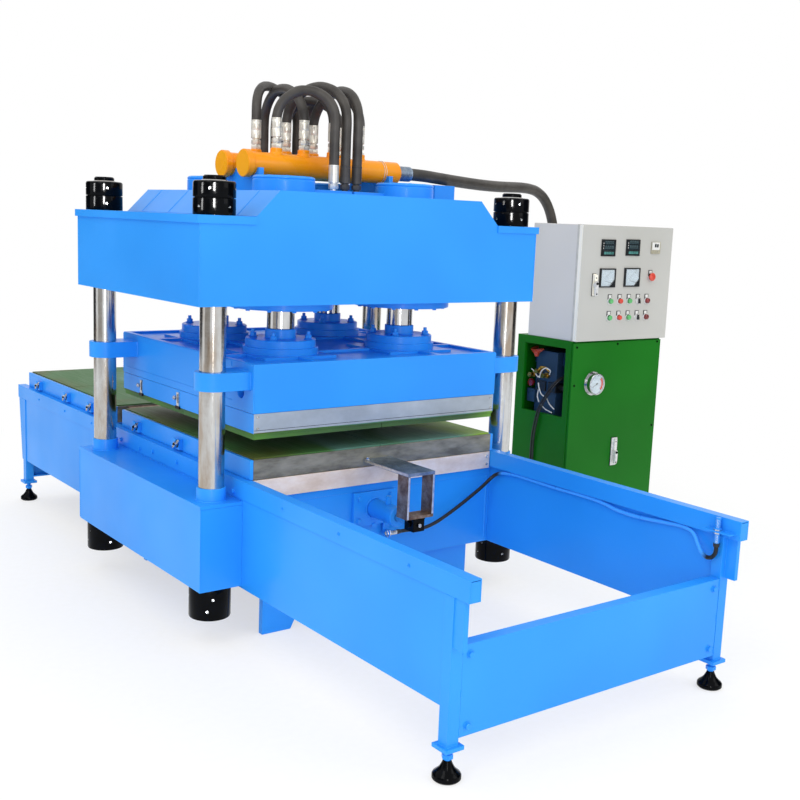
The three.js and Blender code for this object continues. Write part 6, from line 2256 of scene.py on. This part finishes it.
@dataclass
class PowerCabinet:
    """Green power cabinet with its door, gauge, lock, window, pump unit, wires and cables."""

    front: float = 36.3
    thick: float = 12
    door_y: Span = (1514, 2160)
    door_z: Span = (8, 936)
    gauge_at: Span = (1665.2, 730)
    handle_at: Span = (1851.9, 356)
    screws: tuple[Span, ...] = ((1538, 915), (1830, 923), (2132, 925), (1535, 725), (1538, 80), (1830, 60),
                                (2132, 60), (2138, 480))
    case: Outline = ((0, -1), (51, -1), (51, 24), (54, 25), (54, 33), (51.5, 34), (49, 32), (49, 27), (0, 27))
    brass: Outline = ((0, 0), (13, 0), (13, 16), (9, 18), (9, 34), (12, 36), (12, 48), (0, 48))
    knob: Outline = ((0, 0), (7, 0), (7, 10), (17, 12), (19, 18), (17, 26), (0, 28))
    cable: tuple[Point, ...] = ((-60, 1600, 760), (-80, 1545, 720), (-110, 1512, 650), (-142, 1500, 580),
                                (-162, 1497, 500), (-176, 1499, 420), (-178, 1501, 300), (-172, 1500, 150),
                                (-168, 1490, 40), (-168, 1462, 8))

    def build(self) -> None:
        """Make the cabinet from the outside in."""
        fit(Shape().node("power_cabinet"), "Power_Cabinet_Housing", Body.FRAME, [GREEN],
            ["power_cabinet"], 2.5)
        fit(Shape().node("pump_unit"), "Pump_Unit", Body.FRAME, [VALVE_BLUE], ["pump_unit"], 2)
        self.door()
        self.valves()
        self.wires()

    def door(self) -> None:
        """Make the door with its gauge, lock and the screws round it."""
        face = self.front + self.thick
        shape = Shape().box((self.front, face), self.door_y, self.door_z)
        fit(shape, "Power_Door_Panel", Body.POWER_DOOR, [GREEN], ["power_door"], 2)
        screws = Shape()
        for y, z in self.screws:
            screws.screw((face, y, z), X, 5.5, 2.4)
        fit(screws, "Power_Door_Screws", Body.POWER_DOOR, [BLACK], edge=0)
        self.gauge((face, *self.gauge_at))
        lock_handle("Power_Door", Body.POWER_DOOR, Body.POWER_HANDLE, (face, *self.handle_at),
                    "power_door_handle", LEVER, LEVER, 22, (64, 84))

    def gauge(self, place: Point) -> None:
        """Make the pressure gauge: case, rim, dial with ticks and a red zone, pointer and glass.

        Args:
            place: middle of its back on the door.
        """
        x, y, z = place
        case = Shape().turned(self.case, place, X, 64)
        case.turned([(51, -0.6), (60, -0.6), (60, 1.6), (51, 1.6)], place, X, 64, closed=True)
        fit(case, "Gauge_Body", Body.POWER_DOOR, [CHROME], edge=0.4)
        dial = Shape().drum(48.5, (27, 27.8), place, X, 64)
        fit(dial, "Gauge_Dial", Body.POWER_DOOR, [DIAL], edge=0)
        marks = Shape()
        for k in range(28):
            inner, thick = (38, 0.9) if k % 3 == 0 else (41, 0.6)
            marks.tube([(x + 28, *around((y, z), far, 225 - 10 * k)) for far in (45, inner)], thick, 6)
        zone = [(x + 28, *around((y, z), 38, angle)) for angle in range(-45, 46, 6)]
        marks.use(1).tube(zone, 5.5, 10)
        marks.use(0).tube([(x + 29, *around((y, z), far, 205)) for far in (-8, 38)], [2, 0.8], 8)
        marks.drum(5, (28, 30), place, X, 20, 0.5)
        fit(marks, "Gauge_Marks_And_Pointer", Body.POWER_DOOR, [BLACK_ABS, RED_CAP], edge=0)
        pane = Shape().turned([(0, 30.6), (49, 30.6), (49, 31.6), (0, 33.4)], place, X, 64)
        fit(pane, "Gauge_Glass", Body.POWER_DOOR, [GLASS], edge=0).visible_shadow = False

    def valves(self) -> None:
        """Make the valve block, its solenoids, brass fittings and red knob behind the window."""
        block = Shape()
        block.box((-252, -98), (1562, 1690), (640, 700)).box((-240, -110), (1566, 1680), (700, 760))
        block.box((-300, -60), (1600, 1700), (800, 868))
        block.box((-290, -236), (1545, 1600), (600, 668))
        for x in (-276, -250):
            block.screw((x, 1545, 654), (0, -1, 0), 5, 4)
        fit(block, "Valve_Block", Body.FRAME, [VALVE_BLUE], edge=2.5)
        brass = Shape()
        for x, z in ((-255, 742), (-210, 765), (-160, 748)):
            brass.turned(self.brass, (x, 1566, z), (0, -1, 0), 24)
            brass.turned([(0, 10), (16, 10), (16, 20), (0, 20)], (x, 1566, z), (0, -1, 0), 6)
        brass.tube([(-210, 1530, 765), (-180, 1524, 790), (-150, 1530, 790), (-138, 1545, 772)], 6, 14)
        fit(brass, "Valve_Brass_Fittings", Body.FRAME, [BRASS], edge=0.4)
        knob = Shape().turned(self.knob, (-262, 1560, 700), (0, -1, 0), 24)
        for k in range(10):
            x, z = around((-262, 700), 17, 36 * k)
            knob.drum(3, (12, 26), (x, 1560, z), (0, -1, 0), 10)
        fit(knob, "Valve_Red_Knob", Body.FRAME, [DARK_RED_CAP], edge=0)
        coils = Shape()
        coils.box((-230, -170), (1552, 1600), (664, 716)).box((-150, -96), (1552, 1600), (664, 716))
        coils.drum(16, (0, 70), (-60, 1590, 690), (-1, 0, 0), 28, 2)
        fit(coils, "Valve_Coils", Body.FRAME, [BLACK_ABS], edge=3)

    def wires(self) -> None:
        """Hang loose wires behind the window and lead two black cables out over its sill."""
        white, red, black = Shape(), Shape(), Shape()
        for route in (
            ((-262, 1540, 770), (-225, 1528, 758), (-196, 1524, 738), (-180, 1526, 748)),
            ((-188, 1526, 734), (-168, 1520, 772), (-136, 1520, 790), (-112, 1526, 778), (-122, 1530, 758)),
            ((-196, 1528, 706), (-180, 1522, 680), (-162, 1520, 655), (-130, 1522, 640)),
            ((-190, 1528, 672), (-188, 1520, 640), (-172, 1518, 610)),
            ((-126, 1524, 640), (-100, 1520, 612), (-66, 1522, 590)),
            ((-160, 1518, 602), (-126, 1516, 584), (-78, 1520, 570)),
        ):
            white.tube(smooth_line(route, 6), 3, 8)
        for k in range(3):
            red.tube(smooth_line(((-300 + 8 * k, 1600, 880), (-280 + 10 * k, 1548, 872 - 6 * k),
                                  (-240 + 6 * k, 1530, 868 - 8 * k), (-205 + 4 * k, 1556, 878)), 6), 4, 8)
        red.turned([(0, 0), (13, 0), (15, 6), (9, 24), (0, 26)], (-228, 1536, 862), (0.2, -0.1, -1), 20)
        for k in range(2):
            route = [(x - 15 * k, y, z) for x, y, z in self.cable]
            black.tube(smooth_line(route, 8), 4.5, 12)
        fit(white, "Cabinet_White_Wires", Body.FRAME, [WHITE_WIRE], edge=0)
        fit(red, "Cabinet_Red_Wires", Body.FRAME, [RED_WIRE], edge=0)
        fit(black, "Cabinet_Black_Cables", Body.FRAME, [SHEATH], edge=0)


def note_sizes() -> None:
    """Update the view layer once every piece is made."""
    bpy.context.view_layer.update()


def main() -> None:
    """Build the studio and the cords, then every sub-assembly, and update the view layer."""
    for part in (Studio(), Cords(), Columns(), BaseBlocks(), LowerBeam(), Bed(), Tables(), PullBracket(),
                 PushDrive(), Platen(), UpperBeam(), Cylinders(), Manifolds(), ControlBox(), PowerCabinet()):
        LOG.info("%s", type(part).__name__)
        part.build()
    note_sizes()


if __name__ == "__main__":
    main()
